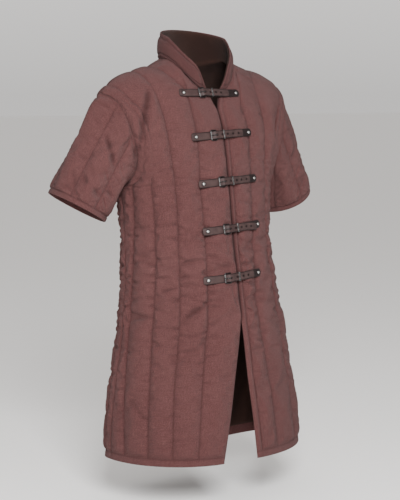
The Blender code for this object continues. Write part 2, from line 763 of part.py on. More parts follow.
def ribbon(path, thickness, half_widths, middles):
    """Vertices and faces of a flat strap along a path of (along, out)."""
    tangent = np.gradient(path, axis=0)
    tangent /= np.linalg.norm(tangent, axis=1, keepdims=True)
    points, faces = [], []
    for (along, out), (run, rise), half, middle in zip(path, tangent, half_widths, middles):
        for side, face in ((-1, -1), (1, -1), (1, 1), (-1, 1)):
            shift = face * thickness / 2
            points.append((along - rise * shift, middle + side * half, out + run * shift))
    count = len(path)
    for i in range(count - 1):
        for j in range(4):
            k = (j + 1) % 4
            faces.append((4 * i + j, 4 * i + k, 4 * i + 4 + k, 4 * i + 4 + j))
    faces.append((0, 1, 2, 3))
    last = 4 * (count - 1)
    faces.append((last, last + 3, last + 2, last + 1))
    return points, faces


def tongue_path(closure):
    """Path, half widths and middles of the holed strap, with its rounded tip."""
    level = TONGUE_PATH[-1].out
    line = rounded_line([*TONGUE_PATH, (closure.tip - TIP_LENGTH, level)], STRAP_SPACING)
    tip = [(closure.tip - back, level) for back, _ in TIP_TAPER]
    path = np.vstack((line, tip))
    halves = [STRAP_WIDTH / 2] * len(line) + [STRAP_WIDTH / 2 * share for _, share in TIP_TAPER]
    halves[0] *= ROOT_TAPER
    middles = [-closure.droop * ease(DROOP_START, closure.tip, along) for along, _ in path]
    return path, halves, middles


def chape_path(closure):
    """Path of the buckle strap, folded round the heel bar and back."""
    end = StrapPoint(closure.rivet + CHAPE_BEYOND, CHAPE_PATH[0].out)
    radius = WIRE_RADIUS + GAP + CHAPE_THICKNESS / 2
    turn = [
        (HEEL_ALONG - radius * math.sin(angle), FRAME_LEVEL - radius * math.cos(angle))
        for angle in np.linspace(0, math.pi, LOOP_STEPS + 1)
    ]
    lower = rounded_line((end, *CHAPE_PATH), STRAP_SPACING)
    return np.vstack((lower, turn, rounded_line(CHAPE_RETURN, STRAP_SPACING)))


def tube(path, radii, sides, closed=False):
    """Vertices and faces of a round bar along (along, across, out) points."""
    path = np.array(path, float)
    if closed:
        tangents = np.roll(path, -1, axis=0) - np.roll(path, 1, axis=0)
    else:
        tangents = np.gradient(path, axis=0)
    points, faces = [], []
    for centre, tangent, radius in zip(path, tangents, radii):
        tangent = unit(tangent)
        guide = np.array((0.0, 0.0, 1.0)) if closed else np.array((0.0, 1.0, 0.0))
        side = unit(np.cross(tangent, guide))
        lift = np.cross(side, tangent)
        for k in range(sides):
            angle = 2 * math.pi * (k + 0.5) / sides
            points.append(centre + radius * (math.cos(angle) * side + math.sin(angle) * lift))
    count = len(path)
    for i in range(count if closed else count - 1):
        for k in range(sides):
            m = (k + 1) % sides
            j = (i + 1) % count
            faces.append((i * sides + k, i * sides + m, j * sides + m, j * sides + k))
    if not closed:
        faces.append(tuple(range(sides)))
        faces.append(tuple(range((count - 1) * sides, count * sides)))
    return points, faces


def frame_path():
    """The buckle's closed wire: the roller's side, a rail, the heel bar and the other rail."""
    wide, half = FRAME_HALF_WIDTH, STRAP_WIDTH / 2
    front, back = ROLLER_ALONG, HEEL_ALONG
    stations = [
        (front, -half, ROLLER_RADIUS),
        (front, half, ROLLER_RADIUS),
        (front, half + GAP, WIRE_RADIUS),
        (front + CORNER_BULGE, wide - CORNER_BULGE, WIRE_RADIUS),
        (front + BUCKLE_CORNER, wide, WIRE_RADIUS),
        (back - BUCKLE_CORNER, wide, WIRE_RADIUS),
        (back - CORNER_BULGE, wide - CORNER_BULGE, WIRE_RADIUS),
        (back, wide - BUCKLE_CORNER, WIRE_RADIUS),
        (back, -wide + BUCKLE_CORNER, WIRE_RADIUS),
        (back - CORNER_BULGE, -wide + CORNER_BULGE, WIRE_RADIUS),
        (back - BUCKLE_CORNER, -wide, WIRE_RADIUS),
        (front + BUCKLE_CORNER, -wide, WIRE_RADIUS),
        (front + CORNER_BULGE, -wide + CORNER_BULGE, WIRE_RADIUS),
        (front, -half - GAP, WIRE_RADIUS),
    ]
    path = [(along, across, FRAME_LEVEL) for along, across, _ in stations]
    return path, [radius for _, _, radius in stations]


def disc(profile, along, across, level, sides):
    """Vertices and faces of a round piece standing on a strap."""
    points, faces = [], []
    for radius, height in profile:
        for k in range(sides):
            angle = 2 * math.pi * k / sides
            run, side = radius * math.cos(angle), radius * math.sin(angle)
            points.append((along + run, across + side, level + height))
    for i in range(len(profile) - 1):
        for k in range(sides):
            m = (k + 1) % sides
            low, high = i * sides, (i + 1) * sides
            faces.append((low + k, low + m, high + m, high + k))
    faces.append(tuple(range(sides)))
    top = (len(profile) - 1) * sides
    faces.append(tuple(range(top, top + sides)))
    return points, faces


def keeper_shape():
    """A flat metal loop round both straps."""
    low, high, thick = KEEPER_LOW, KEEPER_HIGH, KEEPER_SHEET
    inner = STRAP_WIDTH / 2 + KEEPER_SIDE_GAP
    outer = inner + thick
    ring = [(-outer, low), (outer, low), (outer, high + thick), (-outer, high + thick)]
    hole = [(-inner, low + thick), (inner, low + thick), (inner, high), (-inner, high)]
    points = []
    for along in (KEEPER_ALONG - KEEPER_HALF_LENGTH, KEEPER_ALONG + KEEPER_HALF_LENGTH):
        points += [(along, across, out) for across, out in ring + hole]
    faces = []
    for j in range(4):
        k = (j + 1) % 4
        faces += [
            (j, k, 8 + k, 8 + j),
            (4 + j, 12 + j, 12 + k, 4 + k),
            (j, 4 + j, 4 + k, k),
            (8 + j, 8 + k, 12 + k, 12 + j),
        ]
    return points, faces


def hole_places(closure):
    """Where the tongue is punched, in mm along."""
    places = [PRONG_HOLE_ALONG] + [PRONG_HOLE_ALONG + HOLE_PITCH * (i + 1) for i in range(HOLE_COUNT)]
    return [place for place in places if place < closure.tip - LAST_HOLE_MARGIN]


def closure_objects(number, closure, leather, metal, bright):
    """The seven solids of one closure."""
    bend = Bend(closure)

    def add(name, shape, material):
        points, faces = shape
        return mesh_object(f"{name}_{number}", bend.place(points), faces, material)

    path, halves, middles = tongue_path(closure)
    tongue = add("tongue", ribbon(path, TONGUE_THICKNESS, halves, middles), leather)
    outs = np.interp(hole_places(closure), path[:, 0], path[:, 1])
    for i, (along, out) in enumerate(zip(hole_places(closure), outs)):
        middle = -closure.droop * ease(DROOP_START, closure.tip, along)
        punch = ((HOLE_RADIUS, -PUNCH_REACH), (HOLE_RADIUS, PUNCH_REACH))
        points, faces = disc(punch, along, middle, out, HOLE_SIDES)
        cutter = mesh_object(f"punch_{number}_{i}", bend.place(points), faces, leather)
        cutter.hide_render = True
        cutter.display_type = "WIRE"
        cut = tongue.modifiers.new(f"hole {i}", "BOOLEAN")
        cut.operation = "DIFFERENCE"
        cut.solver = "EXACT"
        cut.object = cutter
    chape = chape_path(closure)
    flat = [0.0] * len(chape)
    add("chape", ribbon(chape, CHAPE_THICKNESS, [STRAP_WIDTH / 2] * len(chape), flat), leather)
    add("buckle", tube(*frame_path(), ROUND_SIDES, closed=True), metal)
    radii = [PRONG_RADIUS] * (len(PRONG_PATH) - 1) + [PRONG_TIP_RADIUS]
    add("prong", tube([(point.along, 0.0, point.out) for point in PRONG_PATH], radii, HOLE_SIDES), metal)
    add("keeper", keeper_shape(), metal)
    right_level = np.interp(RIVET_RIGHT_ALONG, path[:, 0], path[:, 1]) + TONGUE_THICKNESS / 2 + GAP
    add("rivet_right", disc(RIVET_PROFILE, RIVET_RIGHT_ALONG, 0.0, right_level, ROUND_SIDES), bright)
    left_level = CHAPE_PATH[0].out + CHAPE_THICKNESS / 2 + GAP
    add("rivet_left", disc(RIVET_PROFILE, closure.rivet, 0.0, left_level, ROUND_SIDES), bright)


def build():
    """Every solid of the garment, in an empty scene."""
    for thing in list(bpy.data.objects):
        bpy.data.objects.remove(thing)
    cloth = finish("cloth", (0.205, 0.078, 0.068), 0.9)
    lining = finish("lining", (0.055, 0.028, 0.022), 0.9)
    leather = finish("leather", (0.045, 0.026, 0.021), 0.55)
    metal = finish("dark metal", (0.045, 0.045, 0.048), 0.35, metallic=1.0)
    bright = finish("bright metal", (0.62, 0.62, 0.62), 0.3, metallic=1.0)
    front_right, front_left, back = front_grid(True), front_grid(False), back_grid()
    sleeve_right = sleeve_grid(front_right, back, -1)
    sleeve_left = sleeve_grid(front_left, back, 1)
    collar = collar_grid(front_right, front_left, back)
    panels = {
        "front_right": front_right,
        "front_left": front_left,
        "back": back,
        "sleeve_right": sleeve_right,
        "sleeve_left": sleeve_left,
        "collar": collar,
    }
    normals = dict(zip(panels, seam_normals(list(panels.values()))))
    for name, grid in panels.items():
        wall_object(name, grid, normals[name], cloth)
    seam_to_rim = range(0, COLLAR_ROWS + 1, 2)
    around = range(collar.points.shape[1])
    lining_object("collar_lining", collar, normals["collar"], seam_to_rim, around, lining)
    hem_to_neck = sorted((*range(0, len(ROWS) - 1, 2), WAIST_ROW))
    middle = back.points.shape[1] // 2
    reach = NECK_STEPS + 2 * CHANNEL_STEPS  # the lining that the openings show stops at this stitch line
    between_lines = range(middle - reach, middle + reach + 1, 2)
    lining_object("back_lining", back, normals["back"], hem_to_neck, between_lines, lining)
    for number, closure in enumerate(CLOSURES, start=1):
        closure_objects(number, closure, leather, metal, bright)


build()
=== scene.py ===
"""Dresses the quilted gambeson: canvas, lining, stitching, leather straps and metal fittings.

Lengths are in metres with +Z up. The wearer faces -Y and the wearer's right is -X.
"""

from __future__ import annotations

import logging
import math
from collections.abc import Callable, Iterable, Sequence
from dataclasses import dataclass, field
from enum import Enum

import bpy
import numpy as np
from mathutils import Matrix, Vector

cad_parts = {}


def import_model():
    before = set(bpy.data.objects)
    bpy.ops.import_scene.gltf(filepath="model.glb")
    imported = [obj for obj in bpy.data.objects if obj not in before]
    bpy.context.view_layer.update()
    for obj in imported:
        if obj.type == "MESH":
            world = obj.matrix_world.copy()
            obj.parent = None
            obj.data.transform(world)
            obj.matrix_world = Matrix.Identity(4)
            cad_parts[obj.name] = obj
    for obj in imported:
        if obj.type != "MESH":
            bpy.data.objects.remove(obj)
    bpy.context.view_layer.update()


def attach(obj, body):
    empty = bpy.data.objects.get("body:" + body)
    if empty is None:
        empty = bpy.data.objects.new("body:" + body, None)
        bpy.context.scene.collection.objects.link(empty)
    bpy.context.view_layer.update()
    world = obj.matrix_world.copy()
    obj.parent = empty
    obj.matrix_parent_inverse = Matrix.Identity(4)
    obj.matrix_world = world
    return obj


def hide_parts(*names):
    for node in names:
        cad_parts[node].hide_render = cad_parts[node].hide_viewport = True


LOG = logging.getLogger("gambeson")
MM = 0.001
PAST_RIVET = 10.0  # how far a buckle strap runs past its rivet, mm
LEAST_FILL = 0.31  # least share of its rectangle that a cut sheet fills
Array = np.ndarray
Colour = Spot = tuple[float, float, float]
Material = bpy.types.Material
Socket = bpy.types.NodeSocket
Thing = bpy.types.Object


# --- Small mathematics ---


def unit(vectors: Array) -> Array:
    """Vectors along the last axis, made one long."""
    return vectors / np.maximum(np.linalg.norm(vectors, axis=-1, keepdims=True), 1e-12)


def ease(low: float, high: float, at: Array) -> Array:
    """0 below low, 1 above high and a smooth step between."""
    t = np.clip((np.asarray(at, float) - low) / (high - low), 0.0, 1.0)
    return t * t * (3 - 2 * t)


def bell(distance: Array, width: float | Array) -> Array:
    """1 at no distance, fading smoothly over a width."""
    return np.exp(-((distance / width) ** 2))


def part(amount: Array, whole: float | Array) -> Array:
    """Share of a whole, held between 0 and 1."""
    return np.clip(amount / whole, 0, 1)


def travelled(points: Array, axis: int = 0) -> Array:
    """Distance to each point from the first, along one axis of a line or grid."""
    steps = np.linalg.norm(np.diff(points, axis=axis), axis=-1)
    return np.insert(np.cumsum(steps, axis=axis), 0, 0, axis=axis)


def through(a: Array, b: Array, c: Array, d: Array, t: float | Array) -> Array:
    """Points between b and c on the smooth curve that runs through all four."""
    bow, twist = 2 * a - 5 * b + 4 * c - d, 3 * b - a - 3 * c + d
    return b + ((c - a) * t + bow * t**2 + twist * t**3) / 2


def bezier(a: Array, b: Array, c: Array, d: Array, t: Array) -> Array:
    """Points on cubic curves.

    Args:
        a: Starts.
        b: First handles.
        c: Second handles.
        d: Ends.
        t: Places along the curves, from 0 to 1.

    Returns:
        One point for each place.
    """
    t = np.asarray(t, float)[..., None]
    return (1 - t) ** 3 * a + 3 * t * (1 - t) ** 2 * b + 3 * t * t * (1 - t) * c + t**3 * d


@dataclass(frozen=True)
class Profile:
    """A smooth curve through values at named places."""

    places: tuple[float, ...]
    values: tuple[float, ...]

    @classmethod
    def column(cls, table: Sequence[Sequence[float]], number: int) -> Profile:
        """The curve of one column of a table against its first."""
        return cls(tuple(row[0] for row in table), tuple(row[number] for row in table))

    def at(self, place: Array) -> Array:
        """Values at many places, held level beyond the ends."""
        keys, values = np.array(self.places), np.array(self.values)
        slopes = np.empty_like(values)
        slopes[1:-1] = (values[2:] - values[:-2]) / (keys[2:] - keys[:-2])
        slopes[0] = (values[1] - values[0]) / (keys[1] - keys[0])
        slopes[-1] = (values[-1] - values[-2]) / (keys[-1] - keys[-2])
        at = np.clip(np.asarray(place, float), keys[0], keys[-1])
        i = np.clip(np.searchsorted(keys, at, side="right") - 1, 0, len(keys) - 2)
        span = keys[i + 1] - keys[i]
        t = (at - keys[i]) / span
        start = (2 * t**3 - 3 * t**2 + 1) * values[i] + (t**3 - 2 * t**2 + t) * span * slopes[i]
        end = (3 * t**2 - 2 * t**3) * values[i + 1] + (t**3 - t**2) * span * slopes[i + 1]
        return start + end


@dataclass(frozen=True)
class Ripple:
    """Smooth seeded noise over a sheet, from about -1 to 1."""

    seed: int
    across: float  # size of a cell across the sheet, m
    along: float  # and along it
    cells: int = 97

    def at(self, s: Array, t: Array) -> Array:
        """Noise at places on the sheet.

        Args:
            s: Distance across the sheet.
            t: Distance along it.

        Returns:
            A value for each place.
        """
        table = np.random.default_rng(self.seed).uniform(-1, 1, (self.cells, self.cells))
        x, y = s / self.across + 50.0, t / self.along + 50.0
        i, j = np.floor(x).astype(int), np.floor(y).astype(int)
        u, v = x - i, y - j
        u, v = u * u * (3 - 2 * u), v * v * (3 - 2 * v)
        n = self.cells
        low = table[i % n, j % n] * (1 - u) + table[(i + 1) % n, j % n] * u
        high = table[i % n, (j + 1) % n] * (1 - u) + table[(i + 1) % n, (j + 1) % n] * u
        return low * (1 - v) + high * v


# --- The worn shape ---


@dataclass(frozen=True)
class Fold:
    """A long dent in the cloth, from one point to another."""

    start: Spot
    end: Spot
    width: float
    depth: float

    def near(self, points: Array) -> tuple[Array, Array]:
        """Where along the dent each point lies, from 0 to 1, and how far from it."""
        start = np.array(self.start)
        way = np.array(self.end) - start
        along = part((points - start) @ way, way @ way)
        return along, np.linalg.norm(points - start - along[..., None] * way, axis=-1)


TORSO_RINGS = (  # level sections below the armpits: height, half width, front, back, sway
    (-0.955, 0.276, 0.194, 0.168, 0.024),
    (-0.850, 0.266, 0.187, 0.159, 0.022),
    (-0.740, 0.247, 0.178, 0.145, 0.018),
    (-0.640, 0.230, 0.170, 0.130, 0.016),
    (-0.530, 0.213, 0.159, 0.119, 0.009),
    (-0.400, 0.204, 0.142, 0.113, 0.001),
    (-0.270, 0.215, 0.120, 0.121, 0.000),
)
SHOULDER_RIDGE = (  # distance from the middle, height
    (0.000, 0.048),
    (0.085, 0.040),
    (0.131, 0.0200),
    (0.170, 0.0100),
    (0.210, -0.0020),
    (0.245, -0.0190),
    (0.277, -0.0430),
)
# Handles of the columns that climb over the shoulder: share of the way to the armhole, then
# how far the start leans out and rises, and the same for the end.
FRONT_UPPER_CURVES = (
    (0.00, -0.020, 0.100, 0.095, -0.020),
    (0.45, 0.000, 0.090, 0.105, -0.012),
    (0.75, 0.035, 0.065, 0.098, -0.010),
    (1.00, 0.090, 0.025, 0.085, -0.010),
)
BACK_UPPER_CURVES = (
    (0.00, 0.005, 0.130, 0.095, 0.000),
    (0.45, 0.010, 0.120, 0.100, -0.018),
    (0.75, 0.040, 0.080, 0.095, -0.020),
    (1.00, 0.090, 0.025, 0.085, -0.014),
)
OPENING_DRIFT = (  # height, how far the fronts' meeting edges lie towards the wearer's left
    (-0.62, 0.0),
    (-0.44, 0.004),
    (-0.30, 0.009),
    (-0.14, 0.009),
    (-0.07, 0.0),
)
FOLDS = (
    Fold((-0.196, -0.090, -0.045), (-0.222, -0.075, -0.150), 0.013, 0.012),
    Fold((-0.222, -0.075, -0.150), (-0.214, -0.040, -0.250), 0.015, 0.013),
    Fold((0.196, -0.090, -0.055), (0.220, -0.075, -0.150), 0.013, 0.010),
    Fold((-0.200, 0.110, -0.060), (-0.224, 0.085, -0.160), 0.016, 0.008),
    Fold((0.200, 0.110, -0.060), (0.224, 0.085, -0.160), 0.016, 0.008),
    Fold((-0.060, -0.135, -0.395), (-0.195, -0.030, -0.370), 0.014, 0.005),
    Fold((-0.020, -0.150, -0.480), (-0.190, -0.050, -0.455), 0.016, 0.006),
    Fold((-0.060, -0.155, -0.575), (-0.205, -0.020, -0.600), 0.018, 0.007),
    Fold((-0.070, -0.160, -0.655), (-0.150, -0.120, -0.700), 0.018, 0.006),
    Fold((0.050, -0.140, -0.430), (0.190, -0.050, -0.400), 0.016, 0.006),
    Fold((0.060, -0.155, -0.560), (0.200, -0.030, -0.590), 0.018, 0.007),
    Fold((-0.120, 0.110, -0.450), (0.120, 0.110, -0.460), 0.020, 0.006),
    Fold((-0.150, 0.105, -0.560), (0.140, 0.112, -0.550), 0.020, 0.005),
)


class Side(Enum):
    """A side of the wearer, with the sign of its X."""

    RIGHT = -1
    LEFT = 1


@dataclass(frozen=True)
class WornShape:
    """The plain inside of the coat on its wearer."""

    hem_height: float = -0.955
    armpit_height: float = -0.27
    side_depth: float = 0.012
    back_dip: float = 0.040
    back_dip_start: float = -0.700
    shoulder_half_width: float = 0.277
    armhole_start_in: float = -0.004
    armhole_end_in: float = -0.042
    neck_share: float = 0.22
    front_neck_drop: float = 0.39
    back_neck_drop: float = 0.20
    edge_gap: float = 0.0003
    vee_height: float = -0.088
    vee_top: float = -0.037
    vee_half_gap: float = 0.021
    slit_height: float = -0.595
    slit_half_gaps: tuple[float, float] = (0.083, 0.023)
    slit_power: float = 1.15
    half_width: Profile = Profile.column(TORSO_RINGS, 1)
    front_depth: Profile = Profile.column(TORSO_RINGS, 2)
    back_depth: Profile = Profile.column(TORSO_RINGS, 3)
    sway: Profile = Profile.column(TORSO_RINGS, 4)
    ridge: Profile = Profile.column(SHOULDER_RIDGE, 1)
    drift: Profile = Profile.column(OPENING_DRIFT, 1)

    def torso(self, across: Array, height: Array, front: bool) -> Array:
        """Points of level sections below the armpits.

        Args:
            across: 0 at the middle and 1 at the side seam.
            height: Height of each point.
            front: Whether the front half is meant.

        Returns:
            Points on the wearer's left.
        """
        angle = across * math.pi / 2
        depth = (self.front_depth if front else self.back_depth).at(height)
        way = -1 if front else 1
        middle = depth - way * self.side_depth
        x = self.half_width.at(height) * np.sin(angle)
        y = self.side_depth + way * middle * np.cos(angle)
        dip = 0.0 if front else self.back_dip * ease(self.back_dip_start, self.hem_height, height)
        return np.stack((x, y, height - dip * np.cos(angle) ** 2), axis=-1)

    def upper(self, across: Array, rise: Array, front: bool) -> Array:
        """Points above armpit level.

        Args:
            across: 0 at the middle and 1 at the armhole.
            rise: 0 at armpit level and 1 on the shoulder ridge.
            front: Whether the front half is meant.

        Returns:
            Points on the wearer's left.
        """
        way = -1 if front else 1
        curves = FRONT_UPPER_CURVES if front else BACK_UPPER_CURVES
        start_out, start_rise, end_out, end_rise = (
            Profile.column(curves, number).at(across) for number in range(1, 5)
        )
        start = self.torso(across, np.full_like(across, self.armpit_height), front)
        top = self.shoulder_half_width * np.sin(across * math.pi / 2)
        end = np.stack((top, np.full_like(top, self.side_depth), self.ridge.at(top)), axis=-1)
        leave = np.stack((self.armhole_start_in * across, way * start_out, start_rise), axis=-1)
        arrive = np.stack((self.armhole_end_in * across, way * end_out, end_rise), axis=-1)
        return bezier(start, start + leave, end + arrive, end, rise)

    def neck_limit(self, across: Array, front: bool) -> Array:
        """How far up each column goes, as a share of its way to the ridge."""
        drop = self.front_neck_drop if front else self.back_neck_drop
        inside = np.clip(1 - (across / self.neck_share) ** 2, 0, None)
        return 1 - drop * np.sqrt(inside)

    def opening_shift(self, across: Array, height: Array, side: Side) -> Array:
        """How far a front's points are drawn from the middle by the neck's V and by the slit."""
        nearness = np.clip(1 - across / self.neck_share, 0, None)
        shift = self.edge_gap * nearness
        vee = part(height - self.vee_height, self.vee_top - self.vee_height)
        shift = shift + self.vee_half_gap * vee**1.2 * nearness**1.5
        slit = np.clip((self.slit_height - height) / (self.slit_height - self.hem_height), 0, None)
        widest = self.slit_half_gaps[0 if side is Side.RIGHT else 1]
        return shift + widest * slit**self.slit_power * (1 - across) ** 2

    def panel(self, across: Array, row: Array, front: bool, side: Side) -> Array:
        """Inside points of a panel before its folds.

        Args:
            across: 0 at the middle and 1 at the side.
            row: 0 at the hem, 1 at armpit level and 2 at the neckline or shoulder.
            front: Whether the front half is meant.
            side: The wearer's side.

        Returns:
            One point for each place.
        """
        height = self.hem_height + np.clip(row, 0, 1) * (self.armpit_height - self.hem_height)
        rise = np.clip(row - 1, 0, None) * self.neck_limit(across, front)
        low, high = self.torso(across, height, front), self.upper(across, rise, front)
        point = np.where((row <= 1)[..., None], low, high)
        if front:
            point[..., 0] += self.opening_shift(across, point[..., 2], side)
        point[..., 0] *= side.value
        point[..., 0] += self.sway.at(point[..., 2])
        if front:
            point[..., 0] += (1 - across) ** 2 * self.drift.at(point[..., 2])
        return point

    def fold_push(self, points: Array, folds: Sequence[Fold]) -> Array:
        """How far the folds push each point towards the body.

        Args:
            points: Points of the unfolded cloth.
            folds: The dents to press in.

        Returns:
            One vector for each point.
        """
        x, y = -points[..., 0], self.side_depth - points[..., 1]
        depth = np.zeros(points.shape[:-1])
        for fold in folds:
            depth += fold.depth * bell(fold.near(points)[1], fold.width)
        return unit(np.stack((x, y, 0 * x), axis=-1)) * depth[..., None]


# --- Finishes ---


class Nodes:
    """A short way to write a node tree."""

    def __init__(
        self, name: str, group: str = "materials", shader: str = "Principled BSDF"
    ) -> None:
        """Starts a material, or a world, that holds only its shader."""
        self.owner = getattr(bpy.data, group).new(name)
        self.owner.use_nodes = True
        self.tree = self.owner.node_tree
        self.shader = self.tree.nodes[shader]

    def add(self, kind: str, inputs: dict | None = None, **settings: object) -> bpy.types.Node:
        """Adds one node.

        Args:
            kind: The node's type without its ShaderNode prefix.
            inputs: Socket name or number to a value or to another node's output.
            **settings: The node's own properties.

        Returns:
            The new node.
        """
        node = self.tree.nodes.new("ShaderNode" + kind)
        for key, value in settings.items():
            setattr(node, key, value)
        for key, value in (inputs or {}).items():
            self.join(node.inputs[key], value)
        return node

    def join(self, socket: Socket, value: object) -> None:
        """Links an output to a socket, or sets the socket's own value."""
        if isinstance(value, Socket):
            self.tree.links.new(value, socket)
        else:
            socket.default_value = value

    def math(self, operation: str, *values: object) -> Socket:
        """Output of one Math node."""
        return self.add("Math", dict(enumerate(values)), operation=operation).outputs[0]

    def noise(
        self, vector: object, scale: float, detail: float = 3.0, rough: float = 0.5
    ) -> Socket:
        """Value of a noise texture."""
        inputs = {"Vector": vector, "Scale": scale, "Detail": detail, "Roughness": rough}
        return self.add("TexNoise", inputs).outputs["Fac"]

    def stretch(self, vector: object, scale: Spot) -> Socket:
        """The vector with its axes scaled."""
        return self.add("Mapping", {"Vector": vector, "Scale": scale}).outputs[0]

    def ramp(self, value: object, low: float, high: float) -> Socket:
        """Value carried from low..high to 0..1 and held there."""
        inputs = {"Value": value, "From Min": low, "From Max": high}
        return self.add("MapRange", inputs, clamp=True).outputs[0]

    def blend(self, factor: object, a: object, b: object) -> Socket:
        """Colour mixed from a to b."""
        node = self.add("Mix", data_type="RGBA")
        for key, value in ((0, factor), (6, a), (7, b)):
            self.join(node.inputs[key], (*value, 1) if isinstance(value, tuple) else value)
        return node.outputs[2]

    def rough(self, value: Socket, least: float, most: float) -> Socket:
        """Roughness that follows a pattern from the least to the most."""
        return self.add("MapRange", {"Value": value, "To Min": least, "To Max": most}).outputs[0]

    def finish(self, inputs: dict[str, object]) -> Material | bpy.types.World:
        """The material or world, with these inputs of its shader set or joined."""
        for name, value in inputs.items():
            self.join(self.shader.inputs[name], value)
        return self.owner

    def bump(
        self, height: object, distance: float, strength: float = 1.0, normal: object = None
    ) -> Socket:
        """Normal bent by a height."""
        inputs = {"Height": height, "Distance": distance, "Strength": strength}
        if normal is not None:
            inputs["Normal"] = normal
        return self.add("Bump", inputs).outputs[0]

    def attribute(self, name: str) -> Socket:
        """A number stored on the mesh's points."""
        return self.add("Attribute", attribute_name=name).outputs["Fac"]

    def place(self) -> Socket:
        """The mesh's own coordinates."""
        return self.add("TexCoord").outputs["Object"]

    def cloth_place(self) -> Socket:
        """Coordinates along the cloth, in metres."""
        return self.add("UVMap", uv_map="cloth").outputs[0]


@dataclass(frozen=True)
class Canvas:
    """Heathered plain-weave cloth, dusty in random clouds, with painted shade darkening its
    creases.
    """

    name: str
    body: Colour
    pale_thread: Colour
    dark_thread: Colour
    # colour of the painted shade in creases, seams and stitched lines
    crease: Colour
    roughness: float = 0.92
    pitch: float = 0.0011
    weave_depth: float = 0.00022
    sheen: float = 0.03

    def material(self) -> Material:
        """Builds the cloth's material."""
        n = Nodes(self.name)
        cloth, place = n.cloth_place(), n.place()
        split = n.add("SeparateXYZ", {0: cloth})
        turn = 2 * math.pi / self.pitch
        wander = n.noise(n.stretch(cloth, (60.0, 60.0, 1.0)), 1.0, 2.0)
        warp, weft = (
            n.math(
                "SINE",
                n.math("ADD", n.math("MULTIPLY", way, turn), n.math("MULTIPLY", wander, 5.0)),
            )
            for way in split.outputs[:2]
        )
        slubs = [
            n.noise(n.stretch(cloth, scale), 1.0, 3.0, 0.6)
            for scale in ((900.0, 45.0, 1.0), (45.0, 900.0, 1.0))
        ]
        heather = n.noise(n.stretch(cloth, (420.0, 560.0, 1.0)), 1.0, 2.0, 0.7)
        pale, dark = self.pale_thread, self.dark_thread

        def tinted(value: Socket, low: float, high: float, share: float, thread: Colour) -> Socket:
            """The colour so far, with a thread's colour where a pattern goes from low to high."""
            return n.blend(n.math("MULTIPLY", n.ramp(value, low, high), share), colour, thread)

        colour = self.body
        colour = tinted(n.math("MAXIMUM", *slubs), 0.56, 0.74, 0.55, pale)
        colour = tinted(n.math("MINIMUM", *slubs), 0.46, 0.28, 0.6, dark)
        cloudy = n.ramp(n.noise(place, 7.0, 4.0, 0.55), 0.45, 0.75)
        colour = n.blend(cloudy, colour, n.blend(0.12, colour, pale))
        colour = tinted(heather, 0.50, 0.68, 0.40, pale)
        colour = tinted(heather, 0.48, 0.34, 0.45, dark)
        colour = tinted(n.noise(place, 38.0, 4.0, 0.6), 0.52, 0.72, 0.12, dark)
        slub_height = n.math("MULTIPLY", n.math("ADD", *slubs), 0.8)
        grain = n.math("ADD", n.math("MULTIPLY", warp, weft), slub_height)
        rumple = n.noise(n.stretch(cloth, (22.0, 75.0, 1.0)), 1.0, 3.0, 0.55)
        return n.finish(
            {
                # painted shade: the crease attribute mixes the colour towards the shade colour
                "Base Color": n.blend(n.attribute("crease"), colour, self.crease),
                "Normal": n.bump(rumple, 0.0016, 0.6, n.bump(grain, self.weave_depth)),
                "Roughness": self.roughness,
                "Specular IOR Level": 0.12,
                "Sheen Weight": self.sheen,
                "Sheen Roughness": 0.5,
            }
        )


@dataclass(frozen=True)
class Leather:
    """Dark strap leather, darker still along its dyed edges."""

    name: str
    body: Colour
    worn: Colour
    edge: Colour
    roughness: float = 0.5

    def material(self) -> Material:
        """Builds the leather's material."""
        n = Nodes(self.name)
        place = n.place()
        pores = n.add("TexVoronoi", {"Vector": place, "Scale": 900.0}, feature="F1")
        stain = n.noise(place, 60.0, 4.0, 0.6)
        worn = n.blend(0.4, self.body, self.worn)
        colour = n.blend(n.ramp(stain, 0.4, 0.7), self.body, worn)
        normal = n.bump(pores.outputs["Distance"], 0.0002, 0.6)
        return n.finish(
            {
                "Base Color": n.blend(
                    n.math("MULTIPLY", n.attribute("edge"), 0.85), colour, self.edge
                ),
                "Roughness": n.rough(stain, self.roughness - 0.1, self.roughness + 0.15),
                "Specular IOR Level": 0.14,
                "Normal": n.bump(n.noise(place, 120.0, 3.0), 0.0006, 0.5, normal),
            }
        )


@dataclass(frozen=True)
class Metal:
    """Forged or polished metal with a little wear."""

    name: str
    body: Colour
    worn: Colour
    roughness: float

    def material(self) -> Material:
        """Builds the metal's material."""
        n = Nodes(self.name)
        place = n.place()
        patch = n.noise(place, 300.0, 4.0, 0.6)
        return n.finish(
            {
                "Base Color": n.blend(n.ramp(patch, 0.45, 0.75), self.body, self.worn),
                "Roughness": n.rough(patch, self.roughness, self.roughness + 0.2),
                "Normal": n.bump(n.noise(place, 700.0, 3.0), 0.0002, 0.4),
                "Metallic": 1.0,
            }
        )


